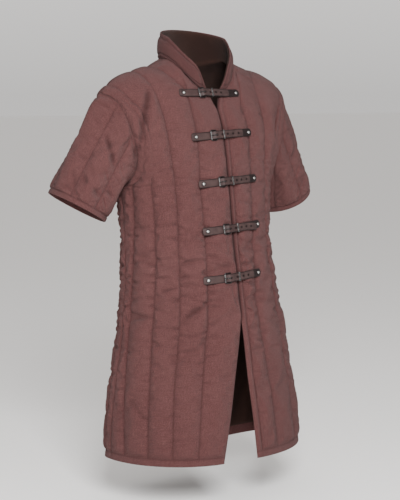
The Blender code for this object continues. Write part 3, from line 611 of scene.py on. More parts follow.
@dataclass(frozen=True)
class Wardrobe:
    """Every finish of the coat, built once."""

    canvas: Material
    lining: Material
    thread: Material
    leather: Material
    burnish_and_hole_shade: Material
    dark_metal: Material
    bright_metal: Material
    keeper_metal: Material

    @classmethod
    def make(cls) -> Wardrobe:
        """Builds the finishes."""
        # The fourth colour of each cloth is its painted shade colour, for creases, seams and
        # stitched lines.
        canvas = Canvas(
            "canvas",
            (0.066, 0.0250, 0.0244),
            (0.140, 0.066, 0.063),
            (0.030, 0.0098, 0.0098),
            (0.013, 0.0045, 0.0045),
        )
        lining = Canvas(
            "lining",
            (0.024, 0.0100, 0.0074),
            (0.038, 0.017, 0.0128),
            (0.015, 0.0065, 0.0050),
            (0.010, 0.0045, 0.0035),
        )
        thread = Canvas(
            "thread",
            (0.052, 0.0180, 0.0176),
            (0.095, 0.042, 0.040),
            (0.028, 0.0092, 0.0090),
            (0.013, 0.0045, 0.0045),
        )
        leather = Leather(
            "strap leather", (0.027, 0.0155, 0.0150), (0.065, 0.040, 0.037), (0.005, 0.003, 0.003)
        )
        # Near-black hole walls: painted shade inside the holes, and their burnished cut edges.
        burnish_and_hole_shade = Leather(
            "hole edges", (0.004, 0.0025, 0.0025), (0.006, 0.004, 0.004), (0.003, 0.002, 0.002)
        )
        dark = Metal("blackened steel", (0.024, 0.023, 0.024), (0.09, 0.086, 0.082), 0.32)
        bright = Metal("bright steel", (0.50, 0.48, 0.46), (0.30, 0.29, 0.28), 0.26)
        keeper = Metal("keeper steel", (0.06, 0.058, 0.058), (0.26, 0.25, 0.245), 0.34)
        return cls(
            *(
                finish.material()
                for finish in (canvas, lining, thread, leather, burnish_and_hole_shade, dark, bright, keeper)
            )
        )


# --- Meshes ---


@dataclass
class Shape:
    """Points and faces on their way to a mesh."""

    points: list[Array] = field(default_factory=list)
    faces: list[tuple[int, ...]] = field(default_factory=list)
    slots: list[int] = field(default_factory=list)
    count: int = 0

    def take(self, points: Array, faces: Iterable[Sequence[int]], slots: int | Array = 0) -> None:
        """Adds points with the faces that use them.

        Args:
            points: New points.
            faces: Corner numbers, counted from the first new point.
            slots: One material slot for all the faces, or one for each.
        """
        points = np.asarray(points, float).reshape(-1, 3)
        faces = faces.tolist() if isinstance(faces, np.ndarray) else faces
        start = len(self.faces)
        self.faces.extend(tuple(i + self.count for i in face) for face in faces)
        added = len(self.faces) - start
        self.slots.extend([slots] * added if isinstance(slots, int) else slots.tolist())
        self.points.append(points)
        self.count += len(points)

    def face(self, corners: Sequence[int], slot: int = 0) -> None:
        """Adds one face between points that are already there."""
        self.faces.append(tuple(corners))
        self.slots.append(slot)

    def join(self, ring: Array, following: Array, flip: bool, slots: Array) -> None:
        """Adds squares between two closed rings of points, with a material slot for each."""
        for a, b, c, d, slot in zip(
            ring, np.roll(ring, -1), np.roll(following, -1), following, slots
        ):
            face = (int(b), int(a), int(d), int(c))
            self.face(face[::-1] if flip else face, int(slot))

    def build(self, name: str, materials: Sequence[Material]) -> Thing:
        """Makes the mesh object.

        Args:
            name: The piece's name.
            materials: One for each slot number used.

        Returns:
            The new object, smooth shaded.
        """
        mesh = bpy.data.meshes.new(name)
        mesh.from_pydata(np.vstack(self.points).tolist(), [], self.faces)
        for material in materials:
            mesh.materials.append(material)
        mesh.polygons.foreach_set("material_index", self.slots)
        mesh.polygons.foreach_set("use_smooth", [True] * len(self.faces))
        mesh.update()
        thing = bpy.data.objects.new(name, mesh)
        bpy.context.collection.objects.link(thing)
        return thing


def read_points(mesh: bpy.types.Mesh) -> Array:
    """Places of a mesh's points."""
    points = np.empty(len(mesh.vertices) * 3, np.float32)
    mesh.vertices.foreach_get("co", points)
    return points.reshape(-1, 3)


def store(thing: Thing, name: str, values: Array) -> None:
    """Stores one number for each of a mesh's points."""
    layer = thing.data.attributes.new(name, "FLOAT", "POINT")
    layer.data.foreach_set("value", np.ascontiguousarray(values, np.float32).reshape(-1))


def store_uv(thing: Thing, places: Array) -> None:
    """Stores a cloth coordinate for each of a mesh's points."""
    layer = thing.data.uv_layers.new(name="cloth")
    corners = np.empty(len(thing.data.loops), np.int32)
    thing.data.loops.foreach_get("vertex_index", corners)
    layer.data.foreach_set("uv", np.ascontiguousarray(places[corners], np.float32).reshape(-1))


# --- Quilted panels ---


@dataclass
class Quilt:
    """One quilted panel on its way from a plain grid to padded cloth."""

    name: str
    base: Array  # inside points by row and column, before the folds
    push: Array  # how far the folds move each point
    lines: list[int]  # columns that are stitched from end to end
    tube: bool = False
    flip: bool = False
    step: int = 2  # the inside has every second point
    wall: Array = field(init=False)
    slack: Array = field(init=False)  # how loose the cloth is, 0 to 1
    crease: Array = field(init=False)  # how much painted shade darkens the cloth, 0 to 1
    free: Array = field(init=False)  # rim radius at each point, 0 at a seam
    hold: Array = field(init=False)  # how tightly the lines hold the cloth, 0 to 1
    thread: Array = field(init=False)  # where a line's thread shows
    outside: Array = field(init=False)
    normals: Array = field(init=False)
    s: Array = field(init=False)
    t: Array = field(init=False)

    def __post_init__(self) -> None:
        """Measures the cloth along its rows and columns."""
        self.s, self.t = travelled(self.base, 1), travelled(self.base)
        self.normals = self.plain_normals(self.base)
        size = self.size
        self.wall, self.slack = np.full(size, 0.004), np.full(size, 0.5)
        self.crease, self.free = np.zeros(size), np.zeros(size)
        self.hold, self.thread = np.ones(size), np.ones(size, bool)
        self.outside = self.base

    @property
    def size(self) -> tuple[int, int]:
        """How many rows and columns the grid has."""
        return self.base.shape[:2]

    @property
    def t_left(self) -> Array:
        """Distance of each point from the last row."""
        return self.t[-1:] - self.t

    @property
    def s_left(self) -> Array:
        """Distance of each point from the last column."""
        return self.s[:, -1:] - self.s

    @property
    def through_wall(self) -> Array:
        """The vector through the wall at each point, from inside to outside."""
        return self.outside - self.base - self.push

    def quads(self, size: tuple[int, int]) -> Array:
        """Corner numbers of a grid's squares, facing out."""
        rows, columns = size
        i, j = np.meshgrid(
            np.arange(rows - 1), np.arange(columns if self.tube else columns - 1), indexing="ij"
        )
        k = (j + 1) % columns
        corners = (i * columns + j, i * columns + k, (i + 1) * columns + k, (i + 1) * columns + j)
        quads = np.stack(corners, axis=-1).reshape(-1, 4)
        return quads[:, ::-1] if self.flip else quads

    def squares(self, points: Array) -> tuple[Array, Array]:
        """Corner numbers of the squares, and normals as long as twice their areas."""
        flat, quads = points.reshape(-1, 3), self.quads(points.shape[:2])
        a, b, c, d = (flat[quads[:, corner]] for corner in range(4))
        return quads, np.cross(c - a, d - b)

    def plain_normals(self, points: Array) -> Array:
        """Outward unit normals of a grid's points."""
        quads, faces = self.squares(points)
        sums = np.zeros((points.shape[0] * points.shape[1], 3))
        for corner in range(4):
            np.add.at(sums, quads[:, corner], faces)
        return unit(sums).reshape(points.shape)

    def loops(self, size: tuple[int, int]) -> list[Array]:
        """Numbers of the border's points, in closed loops."""
        rows, columns = size
        index = np.arange(rows * columns).reshape(rows, columns)
        if self.tube:
            return [index[0], np.roll(index[-1, ::-1], 1)]
        return [np.concatenate((index[0], index[1:, -1], index[-1, -2::-1], index[-2:0:-1, 0]))]

    def lean(self, delta: Array, seam: Array, reach: float = 0.012) -> None:
        """Carries the seams' leaning vectors a little way into the panel.

        Args:
            delta: How a seam point's vector differs from its plain normal.
            seam: Which points lie on a seam.
            reach: How far from the seam the lean fades.
        """
        edges = [
            (slice(0, 1), slice(None), self.t - self.t[:1]),
            (slice(-1, None), slice(None), self.t_left),
        ]
        if not self.tube:
            edges += [(slice(None), slice(0, 1), self.s - self.s[:, :1])]
            edges += [(slice(None), slice(-1, None), self.s_left)]
        total, weight = np.zeros_like(delta), np.zeros(seam.shape)
        for rows, columns, distance in edges:
            near = bell(distance, reach) * seam[rows, columns]
            total += near[..., None] * delta[rows, columns]
            weight += near
        plain = self.normals.copy()
        self.normals = plain + total / np.maximum(weight, 1.0)[..., None]
        self.normals[seam] = (plain + delta)[seam]

    def grip(self, reach: float) -> Array:
        """How tightly the nearest stitched line holds each point, fading over a distance."""
        grip = np.zeros(self.hold.shape)
        around = self.s[:, -1:] + self.s[:, 1:2]
        for line in self.lines:
            distance = np.abs(self.s - self.s[:, line : line + 1])
            if self.tube:
                distance = np.minimum(distance, around - distance)
            grip = np.maximum(grip, self.hold[:, line : line + 1] * bell(distance, reach))
        return grip

    def channels(self) -> Array:
        """Place of each point in its channel, -1 and 1 at the stitching and 0 in the middle."""
        columns = np.arange(self.base.shape[1])
        lines = [*self.lines, self.base.shape[1]] if self.tube else self.lines
        after = np.clip(np.searchsorted(lines, columns, side="right"), 1, len(lines) - 1)
        low, high = np.array(lines)[after - 1], np.array(lines)[after]
        closed = self.s if not self.tube else np.hstack((self.s, self.s[:, -1:] + self.s[:, 1:2]))
        start, end = closed[:, low], closed[:, high]
        return np.clip(2 * (self.s - start) / np.maximum(end - start, 1e-6) - 1, -1, 1)

    def pad(self) -> None:
        """Places the outside over the inside."""
        self.outside = self.base + self.normals * self.wall[..., None] + self.push

    def dent(self, depth: Array) -> None:
        """Presses the outside in along its own normals."""
        self.outside = self.outside - self.plain_normals(self.outside) * depth[..., None]

    def keep_wall(self, least: float = 0.0014) -> None:
        """Lifts the outside wherever a dent left the wall over the plain inside too thin."""
        normals = unit(self.normals)
        wall = (self.through_wall * normals).sum(axis=-1)
        self.outside = self.outside + normals * np.clip(least - wall, 0, None)[..., None]

    def build(self, materials: Sequence[Material], turned: Array) -> Thing:
        """Makes the closed wall between the outside and the inside.

        Args:
            materials: Outside cloth, then inside cloth.
            turned: Which points have outside cloth turned in behind them.

        Returns:
            The panel.
        """
        size = self.size
        inner = (self.base + self.push)[:: self.step, :: self.step]
        small = inner.shape[:2]
        shape = Shape()
        every = np.arange(size[0] * size[1])
        shape.take(self.outside, self.quads(size))
        sources = [every]
        coarse = every.reshape(size)[:: self.step, :: self.step].reshape(-1)
        start = shape.count
        back = self.quads(small)[:, ::-1]
        slots = np.where(turned.reshape(-1)[coarse[back]].all(axis=1), 0, 1)
        shape.take(inner, back, slots)
        sources.append(coarse)
        thick = self.through_wall.reshape(-1, 3)
        middle = (self.base + self.push).reshape(-1, 3) + thick / 2
        lookup = {int(number): start + place for place, number in enumerate(coarse)}
        for loop in self.loops(size):
            ring, away = loop, self.away(loop)
            seamed = (self.free.reshape(-1)[loop] == 0) & ~turned.reshape(-1)[loop]
            for angle in (math.radians(50), math.radians(90), math.radians(130)):
                radius = self.free.reshape(-1)[loop][:, None]
                lift = thick[loop] / 2 * math.cos(angle)
                points = middle[loop] + lift + away * radius * math.sin(angle)
                following = shape.count + np.arange(len(loop))
                shape.take(points, [], 0)
                shape.join(ring, following, self.flip, seamed & (angle > math.radians(60)))
                sources.append(loop)
                ring = following
            for at in range(0, len(loop), self.step):
                spots = [(at + k) % len(loop) for k in range(self.step + 1)]
                outer = [int(ring[spot]) for spot in spots]
                inner_pair = [lookup[int(loop[spots[0]])], lookup[int(loop[spots[-1]])]]
                face = outer[::-1] + inner_pair
                shape.face(face[::-1] if self.flip else face, int(seamed[at]))
        thing = shape.build(self.name + "_cloth", materials)
        source = np.concatenate(sources)
        # The painted shade goes onto the mesh as its crease attribute.
        store(thing, "crease", self.crease.reshape(-1)[source])
        store_uv(thing, np.stack((self.s, self.t), axis=-1).reshape(-1, 2)[source])
        return thing

    def away(self, loop: Array) -> Array:
        """Directions in which a border's points face, along the cloth."""
        flat, normals = (self.base + self.push).reshape(-1, 3), unit(self.normals).reshape(-1, 3)
        along = np.roll(flat[loop], -1, axis=0) - np.roll(flat[loop], 1, axis=0)
        out = unit(np.cross(along, normals[loop]))
        return -out if self.flip else out

    def flat_size(self) -> tuple[tuple[float, float], float]:
        """Width and length of the rectangle that the flat cloth needs, and the cloth's area."""
        width = float((self.s.max(axis=1) - self.s.min(axis=1)).max())
        length = float(self.t.max())
        area = float(np.linalg.norm(self.squares(self.outside)[1], axis=1).sum() / 2)
        return (width, length), min(max(area, LEAST_FILL * width * length), width * length)


def share_seams(quilts: Sequence[Quilt]) -> None:
    """Gives points that panels share one mitred outward vector."""
    shared: dict[tuple[float, ...], dict[str, Array]] = {}
    for quilt in quilts:
        flat, normals = quilt.base.reshape(-1, 3), quilt.normals.reshape(-1, 3)
        for number in np.unique(np.concatenate(quilt.loops(quilt.size))):
            shared.setdefault(tuple(np.round(flat[number], 5)), {})[quilt.name] = normals[number]
    for quilt in quilts:
        delta = np.zeros_like(quilt.base)
        seam = np.zeros(quilt.size, bool)
        flat = quilt.base.reshape(-1, 3)
        for number in np.unique(np.concatenate(quilt.loops(quilt.size))):
            panels = shared[tuple(np.round(flat[number], 5))]
            if len(panels) < 2:
                continue
            mean = unit(sum(panels.values()))
            reach = max(float(np.mean([normal @ mean for normal in panels.values()])), 0.5)
            place = divmod(int(number), quilt.size[1])
            delta[place] = mean / reach - quilt.normals[place]
            seam[place] = True
        quilt.lean(delta, seam)


@dataclass(frozen=True)
class Pucker:
    """Small creases that stitching pulls into the cloth beside it."""

    seed: int
    spacing: float = 0.027
    reach: float = 0.052
    width: float = 0.0038
    depth: float = 0.0052
    end: float = 0.01  # no pucker starts nearer to the end of a line
    rows: int = 14  # how many rows each way a pucker can reach

    def press(self, quilt: Quilt) -> Array:
        """Depth of the creases beside every stitched line.

        Args:
            quilt: The panel to crease.

        Returns:
            A depth for each point of the panel.
        """
        rng = np.random.default_rng(self.seed)
        depth = np.zeros(quilt.size)
        for line in quilt.lines if quilt.tube else [line for line in quilt.lines if line]:
            length = float(quilt.t[:, line].max())
            for way in (-1, 1):
                at = rng.uniform(0, self.spacing)
                while at < length - self.end:
                    row = int(np.argmin(np.abs(quilt.t[:, line] - at)))
                    loose = float(quilt.slack[row, line] * quilt.hold[row, line] ** 2)
                    reach = self.reach * rng.uniform(0.4, 1.3) * (0.6 + 0.6 * loose)
                    slope = rng.normal(0, 0.22)
                    amount = self.depth * rng.uniform(0.15, 1.0) * (0.15 + loose)
                    width = self.width * rng.uniform(0.7, 1.5)
                    rows = slice(max(row - self.rows, 0), row + self.rows + 1)
                    s = (quilt.s[rows] - quilt.s[row, line]) * way
                    t = quilt.t[rows] - quilt.t[row, line] - slope * s
                    run = part(s, reach)
                    fade = np.where(s >= -0.001, (1 - run) ** 1.3 * np.clip(s / 0.004, 0.2, 1), 0)
                    valley = bell(t, width * (0.8 + run))
                    crest = bell(np.abs(t) - 2.1 * width, 1.3 * width)
                    depth[rows] += amount * fade * (valley - 0.35 * crest)
                    at += self.spacing * rng.uniform(0.4, 1.7)
        return depth


@dataclass(frozen=True)
class Crease(Fold):
    """A sharp dent across a panel, with a soft roll beside it."""

    def press(self, quilt: Quilt) -> Array:
        """Depth of the crease at each point of a panel."""
        along, distance = self.near(quilt.outside)
        taper = 0.35 + 0.65 * np.sin(math.pi * np.clip(along, 0.02, 0.98))
        valley = bell(distance, self.width)
        roll = bell(distance - 2.4 * self.width, 1.2 * self.width)
        return self.depth * taper * (valley - 0.3 * roll)


CLOTH = {
    "quality": 5,
    "mass": 0.3,
    "air_damping": 4.0,
    "tension_stiffness": 20.0,
    "compression_stiffness": 20.0,
    "shear_stiffness": 6.0,
    "bending_stiffness": 0.4,
    "vertex_group_mass": "held",
    "use_pressure": True,
    "shrink_max": 0.0,
    "vertex_group_shrink": "tight",
}


@dataclass(frozen=True)
class ClothRun:
    """A short cloth simulation that swells the padded panels between their stitching."""

    pressure: float = 1.6
    slack: float = 0.045
    frames: int = 20
    cap: float = 0.005
    thin: float = 0.0046  # a thinner wall doesn't swell
    step: int = 2

    def swell(self, quilts: Sequence[Quilt]) -> None:
        """Runs every panel at once and adds what moved, up to the cap, to its outside."""
        runs = [self.start(quilt) for quilt in quilts]
        scene = bpy.context.scene
        scene.frame_start, scene.frame_end = 1, self.frames
        for frame in range(1, self.frames + 1):
            scene.frame_set(frame)
        graph = bpy.context.evaluated_depsgraph_get()
        for quilt, (thing, start) in zip(quilts, runs):
            moved = read_points(thing.evaluated_get(graph).to_mesh())
            thing.evaluated_get(graph).to_mesh_clear()
            shift = moved.reshape(start.shape).astype(float) - start
            size = np.linalg.norm(shift, axis=-1, keepdims=True)
            LOG.info(
                "cloth run: %s moved %.1f mm, at most %.1f",
                quilt.name,
                1000 * size.mean(),
                1000 * size.max(),
            )
            shift *= np.tanh(size / self.cap) * self.cap / np.maximum(size, 1e-9)
            full = resample(shift, quilt.size[0], 0, False)
            quilt.outside = quilt.outside + resample(full, quilt.size[1], 1, quilt.tube)
            data = thing.data
            bpy.data.objects.remove(thing)
            bpy.data.meshes.remove(data)
        scene.frame_set(1)

    def start(self, quilt: Quilt) -> tuple[Thing, Array]:
        """A coarser copy of a panel's outside with cloth on it, and its points."""
        step = self.step
        start = quilt.outside[::step, ::step]
        shape = Shape()
        shape.take(start, quilt.quads(start.shape[:2]))
        thing = shape.build("run_" + quilt.name, [])
        held = np.zeros(quilt.size, bool)
        held[0] = held[-1] = True
        held[:, quilt.lines] = True
        if not quilt.tube:
            held[:, 0] = held[:, -1] = True
        held |= quilt.wall < self.thin
        pins = thing.vertex_groups.new(name="held")
        pins.add([int(i) for i in np.nonzero(held[::step, ::step].reshape(-1))[0]], 1.0, "REPLACE")
        tight = thing.vertex_groups.new(name="tight")
        for i, slack in enumerate(quilt.slack[::step, ::step].reshape(-1)):
            tight.add([i], float(1 - slack), "REPLACE")
        cloth = thing.modifiers.new("cloth", "CLOTH")
        settings = cloth.settings
        for name, value in CLOTH.items():
            setattr(settings, name, value)
        settings.uniform_pressure_force = self.pressure
        settings.shrink_min = -self.slack
        settings.effector_weights.gravity = 0.0
        cloth.collision_settings.use_self_collision = False
        cloth.collision_settings.use_collision = False
        cloth.point_cache.frame_start, cloth.point_cache.frame_end = 1, self.frames
        return thing, start


def resample(values: Array, count: int, axis: int, closed: bool) -> Array:
    """Values of a grid spread smoothly over more places along one axis.

    Args:
        values: The coarse values.
        count: How many places the fine grid has.
        axis: The axis to spread along.
        closed: Whether the axis runs in a ring.

    Returns:
        The fine values.
    """
    values = np.moveaxis(values, axis, 0)
    size = len(values)
    place = np.arange(count) * (size / count if closed else (size - 1) / (count - 1))
    i = np.floor(place).astype(int)
    t = (place - i).reshape((-1,) + (1,) * (values.ndim - 1))

    def pick(offset: int) -> Array:
        """The coarse value this many places on."""
        return values[(i + offset) % size] if closed else values[np.clip(i + offset, 0, size - 1)]

    return np.moveaxis(through(pick(-1), pick(0), pick(1), pick(2), t), 0, axis)


# --- Cutting and padding the panels ---


SLEEVE_CREASES = (
    Crease((-0.219, -0.061, -0.149), (-0.230, -0.042, -0.230), 0.0090, 0.0090),
    Crease((-0.298, -0.028, -0.128), (-0.281, -0.052, -0.224), 0.0065, 0.0075),
    Crease((-0.356, -0.012, -0.240), (-0.318, -0.044, -0.293), 0.0070, 0.0055),
    Crease((-0.366, 0.007, -0.235), (-0.368, -0.009, -0.266), 0.0060, 0.0045),
    Crease((-0.312, -0.044, -0.272), (-0.283, -0.042, -0.291), 0.0055, 0.0045),
    Crease((-0.262, -0.056, -0.176), (-0.236, -0.055, -0.150), 0.0060, 0.0045),
    Crease((-0.330, 0.000, -0.190), (-0.300, -0.030, -0.215), 0.0070, 0.0035),
    Crease((0.298, -0.028, -0.140), (0.283, -0.052, -0.215), 0.0070, 0.0050),
    Crease((0.352, -0.010, -0.240), (0.318, -0.044, -0.280), 0.0070, 0.0045),
    Crease((-0.330, 0.100, -0.200), (-0.285, 0.115, -0.245), 0.0080, 0.0050),
    Crease((0.330, 0.100, -0.200), (0.285, 0.115, -0.245), 0.0080, 0.0050),
)
BODY_CREASES = (
    Crease((-0.190, -0.063, -0.036), (-0.211, -0.066, -0.116), 0.0085, 0.0085),
    Crease((-0.211, -0.066, -0.116), (-0.221, -0.051, -0.193), 0.0090, 0.0100),
    Crease((-0.230, -0.060, -0.126), (-0.231, -0.060, -0.156), 0.0045, 0.0060),
    Crease((-0.136, -0.127, -0.598), (-0.084, -0.152, -0.562), 0.0070, 0.0050),
    Crease((-0.236, -0.051, -0.802), (-0.218, -0.085, -0.842), 0.0080, 0.0050),
    Crease((-0.160, -0.110, -0.470), (-0.110, -0.135, -0.455), 0.0060, 0.0040),
    Crease((-0.190, -0.085, -0.530), (-0.150, -0.115, -0.520), 0.0060, 0.0040),
    Crease((0.120, -0.140, -0.700), (0.180, -0.105, -0.740), 0.0080, 0.0045),
    Crease((0.090, -0.150, -0.620), (0.130, -0.135, -0.640), 0.0070, 0.0040),
)


FRONT_LINES = {  # places of the lines between the middle and the side; the first isn't stitched
    Side.RIGHT: (
        Profile((0.0, 1.3, 1.6, 2.0), (0.11, 0.11, 0.14, 0.22)),
        Profile(
            (0.0, 0.41, 0.79, 1.43, 1.62, 1.74, 1.91, 2.0),
            (0.25, 0.275, 0.245, 0.225, 0.225, 0.275, 0.320, 0.335),
        ),
        Profile(
            (0.0, 0.34, 0.77, 0.99, 1.16, 1.43, 2.0),
            (0.45, 0.480, 0.465, 0.435, 0.455, 0.475, 0.480),
        ),
        Profile(
            (0.0, 0.34, 0.48, 0.77, 0.98, 1.30, 1.60, 1.74, 2.0),
            (0.64, 0.675, 0.69, 0.665, 0.64, 0.66, 0.695, 0.75, 0.77),
        ),
        Profile(
            (0.0, 0.48, 0.77, 0.91, 1.30, 1.55, 1.63, 1.71, 1.81, 2.0),
            (0.85, 0.93, 0.90, 0.86, 0.79, 0.755, 0.775, 0.82, 0.88, 0.96),
        ),
    ),
    Side.LEFT: (
        Profile((0.0, 1.3, 1.6, 2.0), (0.11, 0.11, 0.14, 0.22)),
        Profile(
            (0.0, 0.30, 0.54, 0.86, 1.32, 1.64, 2.0), (0.19, 0.185, 0.165, 0.235, 0.25, 0.20, 0.26)
        ),
        Profile(
            (0.0, 0.70, 1.00, 1.40, 1.50, 1.66, 1.78, 2.0),
            (0.45, 0.47, 0.47, 0.46, 0.43, 0.39, 0.38, 0.40),
        ),
        Profile(
            (0.0, 0.50, 1.00, 1.30, 1.60, 1.74, 2.0), (0.65, 0.68, 0.65, 0.66, 0.695, 0.75, 0.77)
        ),
        Profile(
            (0.0, 0.48, 0.91, 1.30, 1.55, 1.63, 1.71, 1.81, 2.0),
            (0.85, 0.90, 0.86, 0.79, 0.755, 0.775, 0.82, 0.88, 0.96),
        ),
    ),
}
BACK_SHARES = (0.12, 0.22, 0.44, 0.67, 0.87)  # the same lines on the back, below its shoulders


@dataclass
class QuiltedCoat:
    """The six padded panels, cut to the worn shape and sewn."""

    shape: WornShape = field(default_factory=WornShape)
    low_rows: int = 228
    high_rows: int = 108
    front_neck_steps: int = 32
    edge_stitch_step: int = 4
    back_neck_steps: int = 16
    channel_steps: tuple[int, ...] = (12, 18, 20, 14, 20)
    sleeve_rows: int = 90
    sleeve_start: int = 22  # the armhole point, counted from the armpit, at the sleeve's first line
    sleeve_lines: tuple[int, ...] = (0, 35, 65, 100, 134, 168)
    collar_rows: int = 36
    stitch_wall: float = 0.0032
    crown_wall: float = 0.0105
    band_wall: float = 0.0042
    flush_wall: float = 0.0064
    collar_wall: float = 0.0062
    collar_band: float = 0.017
    collar_corner: float = 0.018
    collar_inset: float = 0.009
    hem_band: float = 0.016
    cuff_band: float = 0.011
    armhole_band: float = 0.021
    turned_in: float = 0.026  # how far the outside cloth is turned in behind an edge
    rim: float = 0.0018  # radius of a turned edge
    lump: float = 0.0016  # how uneven the wadding is
    deepest: float = 0.007  # what a pucker or crease never gets below
    least_wall: float = 0.0018
    pillow_power: float = 2.6  # how square the padding is between two lines
    thread_pull: float = 0.0011  # how deep a stitched line lies, and how far it reaches
    thread_reach: float = 0.0022
    shade_reach: float = 0.006
    seam_reach: float = 0.003
    cuff_centre: Spot = (0.328, 0.050, -0.322)
    cuff_radius: tuple[float, float] = (0.073, 0.078)  # across, deep
    sleeve_angles: tuple[float, float] = (28.0, 9.0)  # out, back
    sleeve_handles: Spot = (0.095, 0.035, 0.055)  # top, under, cuff
    collar_radius: tuple[float, float] = (0.087, 0.083)
    collar_rim: Spot = (0.094, 0.022, 0.088)  # side height, back rise, front fall
    panels: dict[str, Quilt] = field(default_factory=dict)

    def rows(self) -> Array:
        """Row places from 0 at the hem over 1 at armpit level to 2 at the top."""
        low = np.arange(self.low_rows) / self.low_rows
        return np.concatenate((low, 1 + np.arange(self.high_rows + 1) / self.high_rows))

    def columns(self, front: bool, side: Side) -> Array:
        """Column places of half a panel for every row."""
        rows, steps = self.rows(), self.front_neck_steps if front else self.back_neck_steps
        lines = FRONT_LINES[side]
        if not front:
            tops = [float(line.at(2.0)) for line in lines]
            lines = [
                Profile((0.0, 1.4, 2.0), (share, share, top))
                for share, top in zip(BACK_SHARES, tops)
            ]
        ends = [line.at(rows) for line in lines] + [np.ones(len(rows))]
        turned = float(lines[0].at(2.0)) * np.sin(math.pi / 2 * np.arange(steps + 1) / steps)
        held = self.edge_stitch_step if front else 1
        first = turned[held] * np.arange(held + 1) / held
        share = np.arange(1, steps - held + 1) / (steps - held)
        plain = np.hstack(
            (np.tile(first, (len(rows), 1)), first[-1] + (ends[0][:, None] - first[-1]) * share)
        )
        blend = ease(1.0, 1.9, rows)[:, None]
        parts = [plain * (1 - blend) + turned * blend]
        ends[0] = parts[0][:, -1]
        for low, high, count in zip(ends, ends[1:], self.channel_steps):
            parts.append(low[:, None] + (high - low)[:, None] * np.arange(1, count + 1) / count)
        return np.hstack(parts)

    def line_columns(self, front: bool) -> list[int]:
        """Numbers of the stitched columns of half a panel."""
        start = self.front_neck_steps if front else self.back_neck_steps
        at = start + np.cumsum(self.channel_steps)
        return [self.edge_stitch_step if front else 0, *(int(number) for number in at)]

    def cut(self) -> None:
        """Makes every panel's plain grid."""
        rows = self.rows()[:, None]
        for side in Side:
            across = self.columns(True, side)
            base = self.shape.panel(across, np.broadcast_to(rows, across.shape), True, side)
            lines = self.line_columns(True)
            lines[0] *= side is Side.LEFT  # only the left front's edge is stitched down
            self.add("front_" + side.name.lower(), base, lines, flip=side is Side.RIGHT)
        right, left = (
            self.shape.panel(across, np.broadcast_to(rows, across.shape), False, side)
            for side, across in ((side, self.columns(False, side)) for side in Side)
        )
        last = right.shape[1] - 1
        lines = [last - line for line in reversed(self.line_columns(False))]
        lines += [last + line for line in self.line_columns(False)[1:]]
        self.add("back", np.concatenate((right[:, :0:-1], left), axis=1), lines, flip=True)
        for side in Side:
            self.cut_sleeve(side)
        self.cut_collar()
        share_seams(list(self.panels.values()))

    def add(self, name: str, base: Array, lines: list[int], **kind: bool) -> None:
        """Keeps one panel."""
        push = self.shape.fold_push(base, FOLDS)
        self.panels[name] = Quilt(name, base, push, lines, **kind)

    def cut_sleeve(self, side: Side) -> None:
        """A tube from the armhole's own points to a round cuff."""
        front, back = self.panels["front_" + side.name.lower()], self.panels["back"]
        edge = 0 if side is Side.RIGHT else -1
        low = self.low_rows
        armhole = np.vstack((front.base[low:, -1], back.base[low + 1 : -1, edge][::-1]))
        push = np.vstack((front.push[low:, -1], back.push[low + 1 : -1, edge][::-1]))
        outward = np.array((float(side.value), 0.0, 0.0))
        out, behind = (math.tan(math.radians(angle)) for angle in self.sleeve_angles)
        axis = unit(np.array((side.value * out, behind, -1.0)))
        deep = unit(np.cross(axis, outward))
        deep = deep if deep[1] < 0 else -deep
        across = np.cross(deep, axis)
        across = across if across[0] * side.value > 0 else -across
        centre = np.array((side.value * self.cuff_centre[0], *self.cuff_centre[1:]))
        count = len(armhole)
        lengths = np.linalg.norm(np.roll(armhole, -1, axis=0) - armhole, axis=1)
        turns = np.concatenate(([0], np.cumsum(lengths)[:-1])) / lengths.sum()
        angle = math.pi * (turns + np.arange(count) / count)[:, None]
        wide, thick = self.cuff_radius
        cuff = centre - across * wide * np.cos(angle) + deep * thick * np.sin(angle)
        under = ease(0.35, 1.0, 0.5 + 0.5 * np.cos(angle))
        top_handle, under_handle, cuff_handle = self.sleeve_handles
        leave = (1 - under) * axis * top_handle + under * outward * under_handle
        t = np.arange(self.sleeve_rows + 1)[:, None] / self.sleeve_rows
        t = np.broadcast_to(t, (len(t), count))
        base = bezier(armhole, armhole + leave, cuff - axis * cuff_handle, cuff, t)
        fade = ((1 - t) ** 2 * (1 + 2 * t))[..., None]
        base, push = (np.roll(values, -self.sleeve_start, axis=1) for values in (base, push * fade))
        name = "sleeve_" + side.name.lower()
        self.panels[name] = Quilt(
            name, base, push, list(self.sleeve_lines), tube=True, flip=side is Side.LEFT
        )

    def cut_collar(self) -> None:
        """A band from the neckline's own points to the rim, open at the front."""
        back = self.panels["back"]
        middle, reach, fronts = back.base.shape[1] // 2, self.back_neck_steps, self.front_neck_steps
        right = self.panels["front_right"].base[-1, : fronts + 1]
        left = self.panels["front_left"].base[-1, :fronts][::-1]
        base = np.vstack((right, back.base[-1, middle - reach + 1 : middle + reach + 1], left))
        shift = 0.002
        turns = np.arctan2(-base[:, 0], -(base[:, 1] - shift)) % (2 * math.pi)
        spread = (math.pi - math.radians(33)) / (math.pi - turns[0])
        angle = math.pi + (turns - math.pi) * spread
        facing = np.cos(angle)
        side_rim, back_rise, front_fall = self.collar_rim
        rise = back_rise * np.clip(-facing, 0, None)
        fall = front_fall * np.clip(facing, 0, None) ** 1.3
        height = side_rim + rise - fall
        wide, deep = self.collar_radius
        rim = np.stack((-wide * np.sin(angle), shift - deep * facing, height), axis=-1)
        out = unit(rim * (1, 1, 0))
        t = (np.arange(self.collar_rows + 1) / self.collar_rows)[:, None, None]
        along = travelled(rim)
        inset = 1 - part(np.minimum(along, along[-1] - along), self.collar_corner)
        drop = self.collar_corner * (1 - np.sqrt(1 - inset**2)) / np.linalg.norm(rim - base, axis=1)
        t = t * (1 - drop[:, None])
        points = (1 - t) * base + t * rim + out * 0.004 * np.sin(math.pi * t)
        self.panels["collar"] = Quilt("collar", points, np.zeros_like(points), [], flip=True)

